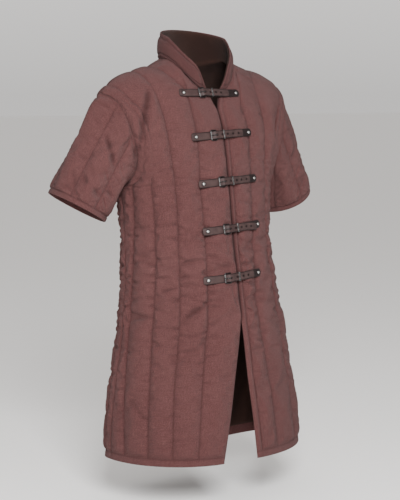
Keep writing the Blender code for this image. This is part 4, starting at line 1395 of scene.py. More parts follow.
    def pad(self) -> None:
        """Gives every panel its padding, bands, puckers and creases."""
        for seed, quilt in enumerate(self.panels.values()):
            if quilt.tube:
                self.pad_sleeve(quilt)
            elif quilt.name == "collar":
                self.pad_collar(quilt)
            else:
                self.pad_body(quilt)
            lumps = Ripple(seed, 0.035, 0.055).at(quilt.s, quilt.t)
            plump = part(quilt.wall - self.stitch_wall, self.crown_wall)
            quilt.wall = quilt.wall + self.lump * lumps * plump
            quilt.pad()

    def armhole_wall(self, row: Array, front: Array) -> Array:
        """Wall where a sleeve starts: flush over the shoulder and in front, pinched elsewhere."""
        flush = (
            np.where(front, ease(1.25, 1.50, row), ease(1.35, 1.70, row)) - ease(1.70, 1.95, row)
        )
        return self.band_wall + (self.flush_wall - self.band_wall) * flush

    def pad_body(self, quilt: Quilt) -> None:
        """Walls of a front or of the back."""
        height, back = quilt.base[..., 2], quilt.name == "back"
        row = np.broadcast_to(self.rows()[:, None], height.shape)
        lines, count = self.line_columns(not back), height.shape[1]
        from_middle = np.abs(np.arange(count) - (count // 2 if back else 0))
        outer = ease(lines[2 + back], lines[3 + back], from_middle)
        gathered = ease(1.0, 1.15, row) * (1 - (0 if back else 0.85 * ease(1.36, 1.50, row)))
        flat_side = ease(lines[4], lines[5], from_middle) * (1 - ease(0.95, 1.05, row))
        shoulder = ease(1.40, 1.85, row)
        cap = ease(lines[3], lines[4], from_middle) * ease(1.30, 1.50, row)
        quilt.hold = (1 - 0.9 * outer * gathered) * (1 - 0.6 * flat_side)
        quilt.hold = quilt.hold * (1 - 0.4 * shoulder) * (1 - 0.65 * cap)
        quilt.hold *= 1 - ease(lines[3], lines[4], from_middle) * ease(1.70, 1.92, row)
        quilt.thread = (outer < 0.5) | (row < 1) | (row > 1.42)
        quilt.thread &= (from_middle < lines[4]) | (row < 1)
        edge = np.minimum(quilt.s_left, quilt.s if back else np.inf)
        hem = 1 - (1 - part(quilt.t - self.hem_band, 0.026)) ** 2.6
        beside_neck = 1 - 0.8 * ease(lines[1] - self.channel_steps[0], lines[1], from_middle)
        top = 1 - (1 - part(quilt.t_left, 0.022)) ** 2.2 * beside_neck
        pillow = (1 - np.abs(quilt.channels()) ** self.pillow_power * quilt.hold) * hem * top
        wall = self.stitch_wall + (self.crown_wall - 0.0020 * shoulder - self.stitch_wall) * pillow
        armhole = ease(1.0, 1.06, row)
        banded = armhole * back * (1 - ease(1.55, 1.85, row))
        band_pinch = bell(edge - self.armhole_band, 0.0022) * banded
        band = np.exp(-((np.clip(edge, 0, None) / self.armhole_band) ** 6)) * banded
        wall = wall * (1 - band) + self.band_wall * band
        near_sleeve = bell(edge, 0.014) * armhole
        wall = wall + (self.armhole_wall(row, not back) - wall) * near_sleeve
        in_hem = quilt.t < self.hem_band
        wall = np.where(in_hem, self.band_wall, wall)
        pinch = bell(quilt.t - self.hem_band, 0.0020)
        gap = np.zeros(wall.shape)
        if not back:
            banded = (from_middle < quilt.lines[0]) & ~in_hem
            wall = np.where(banded, self.band_wall * 1.3, wall)
            turned = 1 - part(quilt.s, 0.006)
            wall = wall * (0.45 + 0.55 * np.sqrt(1 - turned**2))
            # Painted shadow line in the gap between the fronts.
            gap = bell(quilt.s, 0.0036) * ease(-0.620, -0.585, height)
            quilt.free[:, 0] = 0.0003
        quilt.free[0] = self.rim
        sewn = quilt.grip(self.thread_reach) * ~in_hem
        wall = wall - self.thread_pull * np.maximum.reduce((pinch, band_pinch, sewn))
        quilt.wall = np.clip(wall, self.least_wall, None)
        quilt.slack = 0.35 + 0.65 * bell(height + 0.50, 0.21)
        quilt.slack = quilt.slack * (1 - 0.5 * ease(1.2, 1.6, row)) * ~in_hem
        # Painted shade: the cloth is darkened along its seams, the hem and armhole stitching, the
        # stitched lines and the gap between the fronts.
        seam = bell(edge, self.seam_reach) * (0.12 + 0.4 * armhole * (1 - ease(1.3, 1.6, row)))
        seam = seam + 0.3 * bell(quilt.t_left, self.seam_reach)
        dark = 0.35 * pinch + 0.3 * band_pinch + 0.32 * sewn
        quilt.crease = dark + 0.06 * quilt.grip(self.shade_reach) * ~in_hem + seam
        quilt.crease = quilt.crease + 0.9 * gap

    def pad_sleeve(self, quilt: Quilt) -> None:
        """Walls of a sleeve."""
        from_cuff, count = quilt.t_left, quilt.size[1]
        point = (np.arange(count) + self.sleeve_start) % count
        row = 1 + np.minimum(point, count - point) / self.high_rows
        start = self.armhole_wall(row, point <= self.high_rows)
        cuff = 1 - (1 - part(from_cuff - self.cuff_band, 0.020)) ** 2.4
        pillow = (1 - np.abs(quilt.channels()) ** self.pillow_power) * cuff
        wall = self.stitch_wall + (self.crown_wall * 0.95 - self.stitch_wall) * pillow
        begun = ease(0.0, 0.028, quilt.t)
        wall = start * (1 - begun) + wall * begun
        in_cuff = from_cuff < self.cuff_band
        wall = np.where(in_cuff, self.band_wall, wall)
        pinch = bell(from_cuff - self.cuff_band, 0.0018)
        sewn = quilt.grip(self.thread_reach) * ~in_cuff * begun
        quilt.wall = np.clip(
            wall - self.thread_pull * np.maximum(pinch, sewn), self.least_wall, None
        )
        quilt.free[-1] = self.rim
        quilt.slack = np.where(in_cuff, 0, 0.6)
        quilt.thread = quilt.t > 0.012
        # Painted shade along the cuff stitching, the stitched lines and the pinched armhole seam.
        pinched = 1 - (start - self.band_wall) / (self.flush_wall - self.band_wall)
        seam = bell(quilt.t, self.seam_reach) * pinched
        quilt.crease = (
            0.35 * pinch + 0.20 * sewn + 0.06 * quilt.grip(self.shade_reach) * begun + 0.5 * seam
        )

    def pad_collar(self, quilt: Quilt) -> None:
        """Walls of the collar, with a stitched line inside its edges."""
        edge = np.minimum(np.minimum(quilt.s, quilt.s_left), quilt.t_left)
        seam, inset = quilt.t, self.collar_inset
        pinch = bell(edge - inset, 0.0018) * (seam > 0.004)
        puff = 1 - (1 - part(np.minimum(edge - inset, seam), 0.014)) ** 2.2
        wall = self.band_wall + (self.collar_wall * 1.25 - self.band_wall) * puff
        wall = np.where(seam < 0.004, np.minimum(wall, self.stitch_wall + seam * 0.3), wall)
        band = bell(seam - self.collar_band, 0.0030) * (edge > inset)
        quilt.wall = wall - 0.0009 * pinch - 0.0022 * band
        pinch = np.maximum(pinch, band)
        quilt.free[-1] = 0.0022
        quilt.free[:, 0] = quilt.free[:, -1] = 0.0020
        quilt.free[0] = 0
        quilt.slack = np.full(quilt.size, 0.2)
        # Painted shade: the whole collar is darkened, more along its stitched lines and its seam to
        # the body.
        quilt.crease = 0.30 + 0.4 * pinch + 0.5 * bell(seam, self.seam_reach)

    def rumple(self) -> None:
        """Presses the puckers and the sharp creases in."""
        for seed, quilt in enumerate(self.panels.values(), start=20):
            creases = SLEEVE_CREASES if quilt.tube else BODY_CREASES
            deep = sum(crease.press(quilt) for crease in creases)
            depth = Pucker(seed).press(quilt) + deep if quilt.lines else deep
            held = part(np.minimum(quilt.t, quilt.t_left), 0.012)
            if not quilt.tube:
                held = held * part(np.minimum(quilt.s, quilt.s_left), 0.008)
            if not quilt.tube and quilt.name != "back":
                held = held * np.clip(
                    (quilt.s - quilt.s[:, quilt.lines[:1] or [0]] + 0.002) / 0.012, 0.05, 1
                )
            depth = depth * held * np.clip((quilt.wall - self.least_wall) / 0.0026, 0.25, 1)
            depth = self.deepest * np.tanh(depth / self.deepest)
            quilt.dent(depth)
            # Painted shade: the cloth is darkened where puckers and creases press it in.
            dark = np.clip(depth, 0, None) / 0.016 + np.clip(deep, 0, None) / 0.024
            quilt.crease = np.clip(quilt.crease + dark, 0, 0.85)

    def make(self, wardrobe: Wardrobe) -> None:
        """Cuts, pads, swells and sews the panels, and puts them in their nodes' places."""
        self.cut()
        self.pad()
        ClothRun().swell([quilt for quilt in self.panels.values() if quilt.lines])
        self.rumple()
        for place in PLACES:
            for name in ("front_right", "front_left"):
                Bend(self, place).press(
                    self.panels[name], (TONGUE_PATH[0][0], place.rivet + PAST_RIVET)
                )
        for name, quilt in self.panels.items():
            quilt.keep_wall()
            turned = (quilt.t_left if quilt.tube else quilt.t) < self.turned_in
            turned &= name != "collar"
            thing = quilt.build((wardrobe.canvas, wardrobe.lining), turned)
            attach(thing, "root")
            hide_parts(name)
            (width, length), area = quilt.flat_size()
            stitches = Stitching(seed=len(name)).sew(quilt, self, wardrobe.thread)
            LOG.info("%s: %.2f x %.2f m, %.3f m2", name, width, length, area)


@dataclass(frozen=True)
class Stitching:
    """Thread laid along the stitched lines."""

    seed: int
    pitch: float = 0.0042
    length: float = 0.0030
    radius: float = 0.00042
    sink: float = 0.0001

    def sew(self, quilt: Quilt, coat: QuiltedCoat, material: Material) -> Thing:
        """Lays every stitch of a panel.

        Args:
            quilt: The finished panel.
            coat: The coat whose bands give the other lines.
            material: The thread's finish.

        Returns:
            The thread, as one piece.
        """
        shape = Shape()
        normals = quilt.plain_normals(quilt.outside)
        size = quilt.size
        shows = np.ones(size, bool)
        if quilt.name != "collar":
            end = coat.cuff_band if quilt.tube else 0.001
            shows = (quilt.t > (0.003 if quilt.tube else coat.hem_band)) & (quilt.t_left > end)
        for line in quilt.lines:
            on_edge = not quilt.tube and line in (0, size[1] - 1)
            keep = shows[:, line] & quilt.thread[:, line]
            if not on_edge:
                self.run(shape, quilt.outside[keep, line], normals[keep, line])
        for level, columns in self.levels(quilt, coat):
            points, out = self.contour(quilt, normals, level, columns)
            self.run(shape, points, out)
        thing = shape.build("thread_" + quilt.name, [material])
        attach(thing, "root")
        return thing

    def levels(self, quilt: Quilt, coat: QuiltedCoat) -> list[tuple[Array, slice]]:
        """Distances, zero on each line across the panel, with the columns that it crosses."""
        everywhere = slice(None)
        if quilt.tube:
            return [(quilt.t - (quilt.t[-1:] - coat.cuff_band), everywhere)]
        if quilt.name == "collar":
            edge, inside = quilt.t - (quilt.t[-1:] - coat.collar_inset), slice(4, -4)
            return [(edge, inside), (quilt.t - coat.collar_band, inside)]
        return [(quilt.t - coat.hem_band, everywhere)]

    def contour(
        self, quilt: Quilt, normals: Array, level: Array, columns: slice
    ) -> tuple[Array, Array]:
        """Points and normals where a level crosses zero in each column."""
        level, outside, normals = level[:, columns], quilt.outside[:, columns], normals[:, columns]
        row = np.argmax(level > 0, axis=0)
        row = np.clip(row, 1, len(level) - 1)
        j = np.arange(level.shape[1])
        low, high = level[row - 1, j], level[row, j]
        share = part(-low, np.where(high == low, 1, high - low))[:, None]
        points = outside[row - 1, j] * (1 - share) + outside[row, j] * share
        return points, unit(normals[row - 1, j] * (1 - share) + normals[row, j] * share)

    def run(self, shape: Shape, line: Array, normals: Array) -> None:
        """Lays a row of stitches along a line."""
        if len(line) < 3:
            return
        lengths = travelled(line)
        rng = np.random.default_rng(self.seed + len(line))
        starts = np.arange(self.pitch / 2, lengths[-1] - self.pitch, self.pitch)
        starts = starts + rng.uniform(-0.0002, 0.0002, len(starts))

        def at(places: Array, values: Array) -> Array:
            """Values along the line at these distances."""
            return np.stack([np.interp(places, lengths, values[:, i]) for i in range(3)], axis=-1)

        count, sides = len(starts), 5
        if count < 1:
            return
        out = unit(at(starts + self.length / 2, normals))
        a = at(starts, line) - out * self.sink * 3
        d = at(starts + self.length, line) - out * self.sink * 3
        along = unit(d - a)
        across = np.cross(along, out)
        points = [a[:, None]]
        for share in (0.25, 0.75):
            centre = a + (d - a) * share + out * (self.radius * 0.6)
            for k in range(sides):
                angle = 2 * math.pi * k / sides
                spot = centre + self.radius * (math.cos(angle) * across + math.sin(angle) * out)
                points.append(spot[:, None])
        points.append(d[:, None])
        points = np.concatenate(points, axis=1)
        tip = 2 * sides + 1
        faces = []
        for k in range(sides):
            m = (k + 1) % sides
            faces.append((0, 1 + m, 1 + k))
            faces.append((1 + k, 1 + m, 1 + sides + m, 1 + sides + k))
            faces.append((tip, 1 + sides + k, 1 + sides + m))
        each = tip + 1
        every = [tuple(i + n * each for i in face) for n in range(count) for face in faces]
        shape.take(points, every)


# --- Linings ---


@dataclass(frozen=True)
class Linings:
    """Thin dark skins inside the back and the collar, where the openings show them."""

    gap: float = 0.0016
    wall: float = 0.0012
    wrinkle: float = 0.0014
    hem_clear: float = 0.020

    def make(self, coat: QuiltedCoat, wardrobe: Wardrobe) -> None:
        """Builds both linings."""
        back, collar = coat.panels["back"], coat.panels["collar"]
        middle = back.base.shape[1] // 2
        reach = coat.line_columns(False)[3]
        low = int(np.argmax(back.t[:, middle] > self.hem_clear))
        low += low % 2
        high = len(back.base) - 1
        high -= (high - low) % 2
        self.skin(
            "back_lining",
            back,
            slice(low, high + 1, 2),
            slice(middle - reach, middle + reach + 1, 2),
            wardrobe,
        )
        self.skin("collar_lining", collar, slice(0, None, 2), slice(None, None, 2), wardrobe)

    def skin(
        self, name: str, behind: Quilt, rows: slice, columns: slice, wardrobe: Wardrobe
    ) -> None:
        """Builds one lining inside a panel.

        Args:
            name: Its name.
            behind: The panel that it lies in.
            rows: Rows of the panel that it covers.
            columns: Columns that it covers.
            wardrobe: Every finish.
        """
        base, push = behind.base[rows, columns], behind.push[rows, columns]
        normals = unit(behind.normals)[rows, columns]
        s, t = behind.s[rows, columns], behind.t[rows, columns]
        edge = np.minimum(
            np.minimum(s - s[:, :1], s[:, -1:] - s), np.minimum(t - t[:1], t[-1:] - t)
        )
        loose = part(edge, 0.012)
        wave = Ripple(7, 0.030, 0.090).at(s, t) + 0.5 * Ripple(8, 0.012, 0.045).at(s, t)
        inner = base - normals * (
            self.gap + self.wall + self.wrinkle * (0.6 + 0.6 * wave)[..., None] * loose[..., None]
        )
        skin = Quilt(name, inner, push, [], flip=behind.flip, step=1)
        skin.normals = normals
        skin.wall = np.full(inner.shape[:2], self.wall)
        # Painted shade in the valleys of the lining's wrinkles.
        skin.crease = np.clip(0.5 - 0.5 * wave, 0, 0.7) * loose
        skin.pad()
        thing = skin.build((wardrobe.lining, wardrobe.lining), np.zeros(inner.shape[:2], bool))
        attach(thing, "root")
        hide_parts(name)


# --- Straps and buckles, made flat in millimetres and bent onto the chest ---


@dataclass(frozen=True)
class Place:
    """Where one closure sits, and its lengths in mm."""

    height: float
    tilt: float
    shift: float
    rivet: float
    tip: float
    droop: float
    lift: float


PLACES = (  # height, tilt and shift in m, then rivet, tip, droop and lift in mm
    Place(-0.0480, -0.005, -0.016, 78.0, 56.0, 0.0, 0.3),
    Place(-0.1490, 0.057, 0.000, 83.0, 64.0, 0.0, 0.7),
    Place(-0.2640, 0.062, 0.012, 80.0, 63.0, 0.0, 0.7),
    Place(-0.3800, 0.065, 0.012, 79.0, 72.0, 4.0, 0.7),
    Place(-0.4990, 0.066, 0.005, 70.0, 53.0, 0.0, 0.7),
)
# Paths of the straps and the prong, in mm along the closure and out from the cloth.
TONGUE_PATH = (
    (-92.0, 1.2), (-70.0, 1.2), (-48.0, 1.25), (-39.0, 1.25), (-34.5, 2.3), (-28.5, 7.6),
    (-25.0, 8.7), (-19.5, 8.7), (-14.0, 7.3), (-8.0, 6.1), (2.0, 6.0), (15.0, 6.0), (25.0, 4.3),
    (36.0, 3.1),
)
CHAPE_PATH = (
    (60.0, 1.1), (34.0, 1.3), (24.0, 2.0), (14.0, 2.3), (-12.0, 2.3),
)
CHAPE_RETURN = (
    (-17.0, 5.6), (-12.0, 4.3), (-6.0, 4.0), (14.0, 4.0),
)
PRONG_PATH = (
    (-23.5, 7.9), (-23.5, 9.6), (-24.0, 11.0), (-25.5, 11.4), (-33.0, 8.9), (-38.0, 7.7),
    (-40.6, 6.8),
)


def smooth_line(points: Sequence[Sequence[float]], spacing: float) -> Array:
    """Points along a smooth curve through a path, no further apart than spacing."""
    path = np.array(points, float)
    ends = np.vstack((2 * path[0] - path[1], path, 2 * path[-1] - path[-2]))
    line = []
    for a, b, c, d in zip(ends, ends[1:], ends[2:], ends[3:]):
        for t in np.arange(0, 1, 1 / max(1, math.ceil(np.linalg.norm(c - b) / spacing))):
            line.append(through(a, b, c, d, t))
    line.append(path[-1])
    return np.array(line)


def ring_walls(
    shape: Shape, rings: Sequence[Array], closed: bool, slots: Sequence[int] | None = None
) -> None:
    """Adds the surface through a row of equal rings, with flat ends if it isn't closed.

    Args:
        shape: The shape to add to.
        rings: Points of each ring.
        closed: Whether the last ring joins the first.
        slots: The material slot of each band between rings.
    """
    count, sides = len(rings), len(rings[0])
    faces, numbers = [], []
    for i in range(count if closed else count - 1):
        j = (i + 1) % count
        for k in range(sides):
            m = (k + 1) % sides
            faces.append((i * sides + k, i * sides + m, j * sides + m, j * sides + k))
            numbers.append(slots[i] if slots else 0)
    if not closed:
        last = (count - 1) * sides
        faces.append(tuple(range(sides))[::-1])
        faces.append(tuple(range(last, last + sides)))
        numbers += [slots[0] if slots else 0, slots[-1] if slots else 0]
    shape.take(np.vstack(rings), faces, np.array(numbers))


class Bend:
    """Carries flat closure coordinates onto the closed chest."""

    def __init__(self, coat: QuiltedCoat, place: Place, crown: float = 0.010) -> None:
        """Samples the chest along one closure.

        Args:
            coat: The coat whose chest carries the closure.
            place: Where the closure sits.
            crown: Height of the quilting above the inside of the cloth.
        """
        self.shape = coat.shape
        shares = np.linspace(-0.62, 0.62, 61)
        rough = self.chest(shares, np.full(len(shares), place.height))
        heights = place.height + place.tilt * rough[:, 0]
        self.line = self.chest(shares, heights)
        above = self.chest(shares, heights + 0.01)
        lengths = travelled(self.line)
        self.along = lengths - np.interp(0.0, self.line[:, 0], lengths) - place.shift
        self.out = unit(np.cross(np.gradient(self.line, axis=0), above - self.line))
        self.level = crown + place.lift * MM

    def chest(self, share: Array, height: Array) -> Array:
        """Inside points of the closed chest, negative shares on the wearer's right."""
        across = np.abs(share)
        low, high = np.zeros(len(share)), np.ones(len(share))
        for _ in range(40):
            middle = (low + high) / 2
            under = self.shape.upper(across, middle, True)[:, 2] < height
            low, high = np.where(under, middle, low), np.where(under, high, middle)
        upper = self.shape.upper(across, low, True)
        torso = self.shape.torso(across, height, True)
        point = np.where((height <= self.shape.armpit_height)[:, None], torso, upper)
        point[:, 0] = np.sign(share) * point[:, 0] + self.shape.sway.at(height)
        return point

    def sample(self, values: Array, along: Array) -> Array:
        """Sampled vectors at places along, in metres."""
        return np.stack([np.interp(along, self.along, values[:, i]) for i in range(3)], axis=-1)

    def press(self, quilt: Quilt, ends: tuple[float, float]) -> None:
        """Presses a padded panel down where the closure's straps lie on it.

        Args:
            quilt: The panel.
            ends: Where the straps begin and end along the closure, in mm.
        """
        points = quilt.outside.reshape(-1, 3)
        along = np.interp(points[:, 0], self.line[:, 0], self.along)
        normal = unit(self.sample(self.out, along))
        away = points - self.sample(self.line, along)
        out = (away * normal).sum(axis=1)
        across = np.sqrt(np.clip((away**2).sum(axis=1) - out**2, 0, None))
        beyond = np.clip(np.maximum(ends[0] * MM - along, along - ends[1] * MM), 0, None)
        beyond = beyond + np.clip(across - 0.010, 0, None)
        above = np.clip(out - self.level - 0.7 * beyond, 0, None) * (beyond < 0.02)
        quilt.outside = (points - normal * above[:, None]).reshape(quilt.outside.shape)

    def place(self, points: Array) -> Array:
        """World points of flat ones in mm."""
        points = np.asarray(points, float).reshape(-1, 3)
        along = points[:, 0] * MM
        base, normal = self.sample(self.line, along), unit(self.sample(self.out, along))
        ahead = self.sample(self.line, along + MM) - self.sample(self.line, along - MM)
        up = unit(np.cross(normal, ahead))
        return base + normal * (self.level + points[:, 2:] * MM) + up * points[:, 1:2] * MM


@dataclass(frozen=True)
class StrapSection:
    """Cross-section of a strap: rounded edges and a pressed line inside them."""

    width: float = 20.0
    crease_in: float = 2.2
    crease_depth: float = 0.28

    def ring(self, thickness: float, share: float) -> Array:
        """Points round the strap as (across, out).

        Args:
            thickness: How thick the leather is.
            share: Share of the full width.

        Returns:
            Points in order.
        """
        half, top = self.width / 2 * share, thickness / 2
        ins = (
            (self.crease_in + 0.8, top),
            (self.crease_in, top - self.crease_depth),
            (self.crease_in - 0.8, top),
        )
        ins += ((0.7, top), (0.2, top - 0.3), (0.0, top - 0.75), (0.15, 0.3 - top), (0.7, -top))
        side = [(max(half - inset, 0.02 * (5 - n % 5)), out) for n, (inset, out) in enumerate(ins)]
        return np.array(side + [(-across, out) for across, out in reversed(side)])


@dataclass
class Closure:
    """A strap with its buckle, keeper and two rivets."""

    number: int
    place: Place
    section: StrapSection = field(default_factory=StrapSection)
    tongue_thickness: float = 1.8
    chape_thickness: float = 1.4
    tip_length: float = 9.0
    frame_level: float = 4.5
    frame_half_width: float = 12.3
    roller_along: float = -38.0
    heel_along: float = -22.0
    wire: float = 1.2
    roller: float = 1.8
    hole_radius: float = 3.0
    hole_pitch: float = 18.0
    hole_count: int = 4
    first_hole: float = -23.5
    hole_margin: float = 8.0
    rivet_right_along: float = -80.0
    bar_sides: int = 14
    bend: Bend = field(init=False)
    wardrobe: Wardrobe = field(init=False)

    def make(self, coat: QuiltedCoat, wardrobe: Wardrobe) -> None:
        """Builds and dresses the closure's pieces.

        Args:
            coat: The coat that carries it.
            wardrobe: Every finish.
        """
        self.bend, self.wardrobe = Bend(coat, self.place), wardrobe
        self.tongue()
        self.chape()
        self.buckle()
        self.prong()
        self.keeper()
        self.rivet("rivet_right", self.rivet_right_along, 1.2 + self.tongue_thickness / 2 + 0.1)
        self.rivet("rivet_left", self.place.rivet, 1.1 + self.chape_thickness / 2 + 0.1)
        LOG.info("closure %d at height %.3f m", self.number, self.place.height)

    def piece(
        self,
        name: str,
        rings: Sequence[Array],
        materials: Sequence[Material],
        closed: bool = False,
        slots: Sequence[int] | None = None,
    ) -> Thing:
        """A flat piece whose surface runs through rings.

        Args:
            name: Its name without the closure's number.
            rings: Points of each ring.
            materials: Its finishes.
            closed: Whether the last ring joins the first.
            slots: The finish of each band between rings.

        Returns:
            The piece, in mm and not yet bent onto the chest.
        """
        shape = Shape()
        ring_walls(shape, rings, closed, slots)
        return shape.build(f"{name}_{self.number}", materials)

    def finish(self, thing: Thing, slot: str, node: str = "") -> None:
        """Bends a flat piece onto the chest and registers it.

        Args:
            thing: The flat piece.
            slot: The material slot that it takes its finish from; not used.
            node: The node that it stands for, if any.
        """
        mesh = thing.data
        placed = self.bend.place(read_points(mesh))
        mesh.vertices.foreach_set("co", placed.astype(np.float32).reshape(-1))
        mesh.set_sharp_from_angle(angle=math.radians(42))
        mesh.update()
        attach(thing, "root")
        if node:
            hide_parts(f"{node}_{self.number}")

    def middle(self, along: Array) -> Array:
        """How far the tongue's free end hangs, in mm."""
        return -self.place.droop * ease(30.0, self.place.tip, along)

    def strap_rings(
        self, path: Array, thickness: float, shares: Array, middles: Array
    ) -> list[Array]:
        """Rings of a strap's section along a path of (along, out)."""
        tangent = unit(np.gradient(path, axis=0))
        rings = []
        for (along, out), (run, rise), share, middle in zip(path, tangent, shares, middles):
            section = self.section.ring(thickness, share)
            shift = section[:, 1]
            rings.append(
                np.stack((along - rise * shift, middle + section[:, 0], out + run * shift), axis=-1)
            )
        return rings

    def dress_leather(self, thing: Thing, middles: Callable[[Array], Array]) -> None:
        """Stores how near the strap's edges each point lies, while the strap is flat."""
        points = read_points(thing.data)
        across = np.abs(points[:, 1] - middles(points[:, 0])) / (self.section.width / 2)
        tip = np.clip(1 - (self.place.tip - points[:, 0]) / 3.0, 0, 1)
        store(thing, "edge", np.maximum(ease(0.70, 0.95, across), tip))

    def tongue(self) -> None:
        """The holed strap."""
        end = (self.place.tip - self.tip_length, TONGUE_PATH[-1][1])
        line = smooth_line([*TONGUE_PATH, end], 2.5)
        back = self.tip_length * (1 - np.sin(np.linspace(0, math.pi / 2, 10)[1:]))
        tip = np.stack((self.place.tip - back, np.full(len(back), end[1])), axis=-1)
        path = np.vstack((line, tip))
        root = part(path[:, 0] - TONGUE_PATH[0][0], 5.0)
        shares = np.sqrt(
            np.clip(1 - (np.clip(path[:, 0] - end[0], 0, None) / self.tip_length) ** 2.4, 0.004, 1)
        )
        shares = shares * (0.62 + 0.38 * np.sqrt(1 - (1 - root) ** 2))
        rings = self.strap_rings(path, self.tongue_thickness, shares, self.middle(path[:, 0]))
        leathers = (self.wardrobe.leather, self.wardrobe.burnish_and_hole_shade)
        thing = self.piece("holed_strap", rings, leathers)
        self.punch(thing, path)
        self.dress_leather(thing, self.middle)
        self.finish(thing, "leather", "tongue")

    def punch(self, thing: Thing, path: Array) -> None:
        """Cuts the holes through the flat tongue; their walls take the near-black finish, painted
        shade inside the holes and their burnished cut edges.
        """
        places = [self.first_hole + self.hole_pitch * i for i in range(self.hole_count + 1)]
        punches = Shape()
        angle = np.linspace(0, 2 * math.pi, 20, endpoint=False)
        for along in (place for place in places if place < self.place.tip - self.hole_margin):
            out = float(np.interp(along, path[:, 0], path[:, 1]))
            x = along + self.hole_radius * np.cos(angle)
            y = self.middle(np.array(along)) + self.hole_radius * np.sin(angle)
            bottom = -3.0 if along == self.first_hole else -0.6  # the strap below stays whole
            rings = [np.stack((x, y, np.full(20, out + level)), axis=-1) for level in (bottom, 3.0)]
            # Slot 1 gives the hole walls the near-black painted hole shade.
            ring_walls(punches, rings, False, [1] * 4)
        cutter = punches.build("punches", [self.wardrobe.leather, self.wardrobe.burnish_and_hole_shade])
        cut = thing.modifiers.new("holes", "BOOLEAN")
        cut.operation, cut.solver, cut.object = "DIFFERENCE", "EXACT", cutter
        graph = bpy.context.evaluated_depsgraph_get()
        mesh = bpy.data.meshes.new_from_object(thing.evaluated_get(graph))
        old, name = thing.data, thing.name
        thing.modifiers.clear()
        thing.data = mesh
        bpy.data.meshes.remove(old)
        mesh.name = name
        bpy.data.objects.remove(cutter)

    def chape(self) -> None:
        """The buckle's own strap, folded round the heel bar."""
        radius = self.wire + 0.3 + self.chape_thickness / 2
        angle = np.linspace(0, math.pi, 12)
        turn = np.stack(
            (self.heel_along - radius * np.sin(angle), self.frame_level - radius * np.cos(angle)),
            axis=-1,
        )
        start = (self.place.rivet + PAST_RIVET, CHAPE_PATH[0][1])
        lower = smooth_line([start, *CHAPE_PATH], 3.0)
        path = np.vstack((lower, turn, smooth_line(CHAPE_RETURN, 3.0)))
        run = np.arange(len(path))
        root = np.where(run < 12, part(start[0] - path[:, 0], 9.0), 1)
        shares = 0.25 + 0.75 * np.sqrt(1 - (1 - root) ** 2.2)
        rings = self.strap_rings(path, self.chape_thickness, shares, np.zeros(len(path)))
        thing = self.piece("buckle_strap", rings, [self.wardrobe.leather])
        self.dress_leather(thing, lambda along: 0 * along)
        self.finish(thing, "leather", "chape")

    def bar(self, path: Array, radii: Array, closed: bool = False) -> list[Array]:
        """Rings of a round bar along (along, across, out) points."""
        if closed:
            step, guide = np.roll(path, -1, axis=0) - np.roll(path, 1, axis=0), (0.0, 0.0, 1.0)
        else:
            step, guide = np.gradient(path, axis=0), (0.0, 1.0, 0.0)
        angle = 2 * math.pi * (np.arange(self.bar_sides) + 0.5)[:, None] / self.bar_sides
        rings = []
        for centre, tangent, radius in zip(path, unit(step), radii):
            side = unit(np.cross(tangent, guide))
            lift = np.cross(side, tangent)
            rings.append(centre + radius * (np.cos(angle) * side + np.sin(angle) * lift))
        return rings

    def buckle(self) -> None:
        """The frame of black wire, and the roller of keeper steel on its front bar."""
        wide, front, back, corner = self.frame_half_width, self.roller_along, self.heel_along, 2.4
        path = []
        corners = ((front, -wide, 270), (front, wide, 180), (back, wide, 90), (back, -wide, 0))
        for along, across, start in corners:
            x = along + (1 if along == front else -1) * corner
            y = across + (-1 if across > 0 else 1) * corner
            for angle in np.radians(start - np.linspace(0, 90, 7)):
                path.append(
                    (x + corner * math.cos(angle), y + corner * math.sin(angle), self.frame_level)
                )
        path = np.array(path)
        radii = np.where(path[:, 0] < front + 0.5, 1.05, self.wire * 1.12)
        thing = self.piece(
            "buckle_frame", self.bar(path, radii, True), [self.wardrobe.dark_metal], True
        )
        self.finish(thing, "buckle_metal", "buckle")
        half = self.section.width / 2
        angle = 2 * math.pi * np.arange(24) / 24
        rings = []
        outline = ((-half, 0.78), (-half + 0.25, 0.95), (-half + 0.8, 1))
        outline += ((half - 0.8, 1), (half - 0.25, 0.95), (half, 0.78))
        for across, share in outline:
            turn = (
                self.roller * share * np.stack((np.cos(angle), 0 * angle, -np.sin(angle)), axis=-1)
            )
            rings.append(np.array((front, across, self.frame_level)) + turn)
        roller = self.piece("roller", rings, [self.wardrobe.keeper_metal])
        self.finish(roller, "rivet_metal")

    def prong(self) -> None:
        """The pin through the tongue, resting on the roller."""
        path = smooth_line([(along, 0.0, out) for along, out in PRONG_PATH], 0.8)
        share = np.linspace(0, 1, len(path))
        radii = 1.15 - 0.35 * share - 0.3 * ease(0.95, 1.0, share)
        thing = self.piece("buckle_prong", self.bar(path, radii), [self.wardrobe.dark_metal])
        self.finish(thing, "buckle_metal", "prong")

    def keeper(self) -> None:
        """A flat metal loop round both straps."""
        low, high, sheet, half, along = 0.35, 7.25, 0.95, 10.4, 1.0  # mm
        corners = ((-half, high), (half, high), (half, low + sheet), (-half, low + sheet))
        path, out = [], []
        for (across, level), start in zip(corners, (180, 90, 0, 270)):
            for angle in np.radians(start - np.linspace(0, 90, 5)):
                path.append((across, level))
                out.append((math.cos(angle), math.sin(angle)))
        section = (
            (-2.1, 0.2),
            (-1.8, 0.0),
            (1.8, 0.0),
            (2.1, 0.2),
            (2.1, 0.75),
            (1.8, sheet),
            (-1.8, sheet),
            (-2.1, 0.75),
        )
        rings = []
        for (across, level), (sideways, up) in zip(path, out):
            rings.append(
                np.array([(along + x, across + sideways * r, level + up * r) for x, r in section])
            )
        thing = self.piece("strap_keeper", rings, [self.wardrobe.keeper_metal], True)
        self.finish(thing, "buckle_metal", "keeper")

